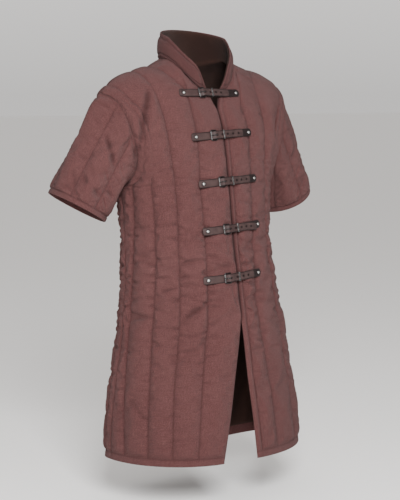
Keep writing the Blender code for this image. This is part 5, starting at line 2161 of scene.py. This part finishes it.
    def rivet(self, name: str, along: float, level: float) -> None:
        """A bright dome in a dark washer."""
        profile = (
            (5.3, 0.0), (5.4, 0.25), (5.2, 0.6), (4.6, 0.8), (3.9, 0.75), (3.55, 0.7), (3.45, 1.0)
        )
        profile += ((3.3, 1.5), (2.9, 2.05), (2.2, 2.45), (1.2, 2.68), (0.3, 2.72))
        angle = 2 * math.pi * np.arange(28) / 28
        rings = [
            np.stack(
                (
                    along + radius * np.cos(angle),
                    radius * np.sin(angle),
                    np.full(28, level + height),
                ),
                axis=-1,
            )
            for radius, height in profile
        ]
        metals = (self.wardrobe.dark_metal, self.wardrobe.bright_metal)
        thing = self.piece(f"domed_{name}", rings, metals, False, [0] * 6 + [1] * 5)
        self.finish(thing, "rivet_metal", name)


# --- The studio ---


@dataclass(frozen=True)
class Studio:
    """Pale floor, soft light and the camera."""

    azimuth: float = -37.0
    distance: float = 3.9
    height: float = -0.048
    tilt: float = 5.8
    lens: float = 110.1
    aside: float = 0.0102
    floor_drop: float = 0.12
    dome: tuple[float, float, float, float] = (0.0, 0.10, 0.735, 1.05)  # from, to, dim, bright
    top: tuple[float, float, float, float] = (0.25, 0.70, 0.0, 0.45)  # what the zenith loses

    def make(self) -> None:
        """Builds the floor, the lights, the world and the camera."""
        floor = self.floor()
        self.world()
        self.light("key", (-1.6, -2.8, 1.0), 1.2, 265.0)
        self.light("fill", (-2.8, -1.6, 1.0), 2.0, 10.0)
        self.light("rim", (0.5, 2.6, 2.2), 2.0, 8.0)
        self.camera()

    def floor(self) -> Thing:
        """A large pale plane under the coat."""
        shape = Shape()
        size, level = 60.0, WornShape.hem_height - self.floor_drop
        corners = [
            (-size, -size, level), (size, -size, level), (size, size, level), (-size, size, level)
        ]
        shape.take(np.array(corners), [(0, 1, 2, 3)])
        n = Nodes("pale floor")
        grain = n.noise(n.place(), 40.0, 3.0)
        colour = n.blend(grain, (0.95, 0.935, 0.92), (0.98, 0.965, 0.95))
        return shape.build("floor", [n.finish({"Base Color": colour, "Roughness": 0.8})])

    def world(self) -> None:
        """Even pale surroundings."""
        n = Nodes("studio", "worlds", "Background")
        place = n.add("TexCoord").outputs["Generated"]
        height = n.add("SeparateXYZ", {0: place}).outputs["Z"]
        pale, dark = (
            n.add(
                "MapRange",
                {
                    "Value": height,
                    "From Min": low,
                    "From Max": high,
                    "To Min": start,
                    "To Max": end,
                },
            ).outputs[0]
            for low, high, start, end in (self.dome, self.top)
        )
        strength = n.math("SUBTRACT", pale, dark)
        bpy.context.scene.world = n.finish({"Color": (1.0, 0.975, 0.955, 1), "Strength": strength})

    def light(self, name: str, spot: Spot, size: float, power: float) -> None:
        """Adds a soft square light aimed at the chest."""
        data = bpy.data.lights.new(name, "AREA")
        data.size, data.energy = size, power
        aim = (Vector((0, 0, -0.4)) - Vector(spot)).to_track_quat("-Z", "Y").to_euler()
        self.put(name, data, spot, aim)

    def put(self, name: str, data: bpy.types.ID, spot: Spot, turn: Spot) -> Thing:
        """Puts a light or a camera in the scene."""
        thing = bpy.data.objects.new(name, data)
        thing.location, thing.rotation_euler = spot, turn
        bpy.context.collection.objects.link(thing)
        return thing

    def camera(self) -> None:
        """Aims the camera."""
        angle = math.radians(self.azimuth)
        away = Vector((math.sin(angle), -math.cos(angle), 0))
        right = Vector((math.cos(angle), math.sin(angle), 0))
        data = bpy.data.cameras.new("camera")
        data.sensor_fit, data.sensor_height, data.lens = "VERTICAL", 36.0, self.lens
        spot = away * self.distance + right * self.aside + Vector((0, 0, self.height))
        turn = (math.radians(90 - self.tilt), 0, angle)
        bpy.context.scene.camera = self.put("camera", data, spot, turn)


def main() -> None:
    """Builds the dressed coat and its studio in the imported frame."""
    logging.basicConfig(level=logging.INFO, format="%(message)s")
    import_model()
    Studio().make()
    wardrobe = Wardrobe.make()
    coat = QuiltedCoat()
    coat.make(wardrobe)
    Linings().make(coat, wardrobe)
    for number, place in enumerate(PLACES, start=1):
        Closure(number, place).make(coat, wardrobe)


if __name__ == "__main__":
    main()
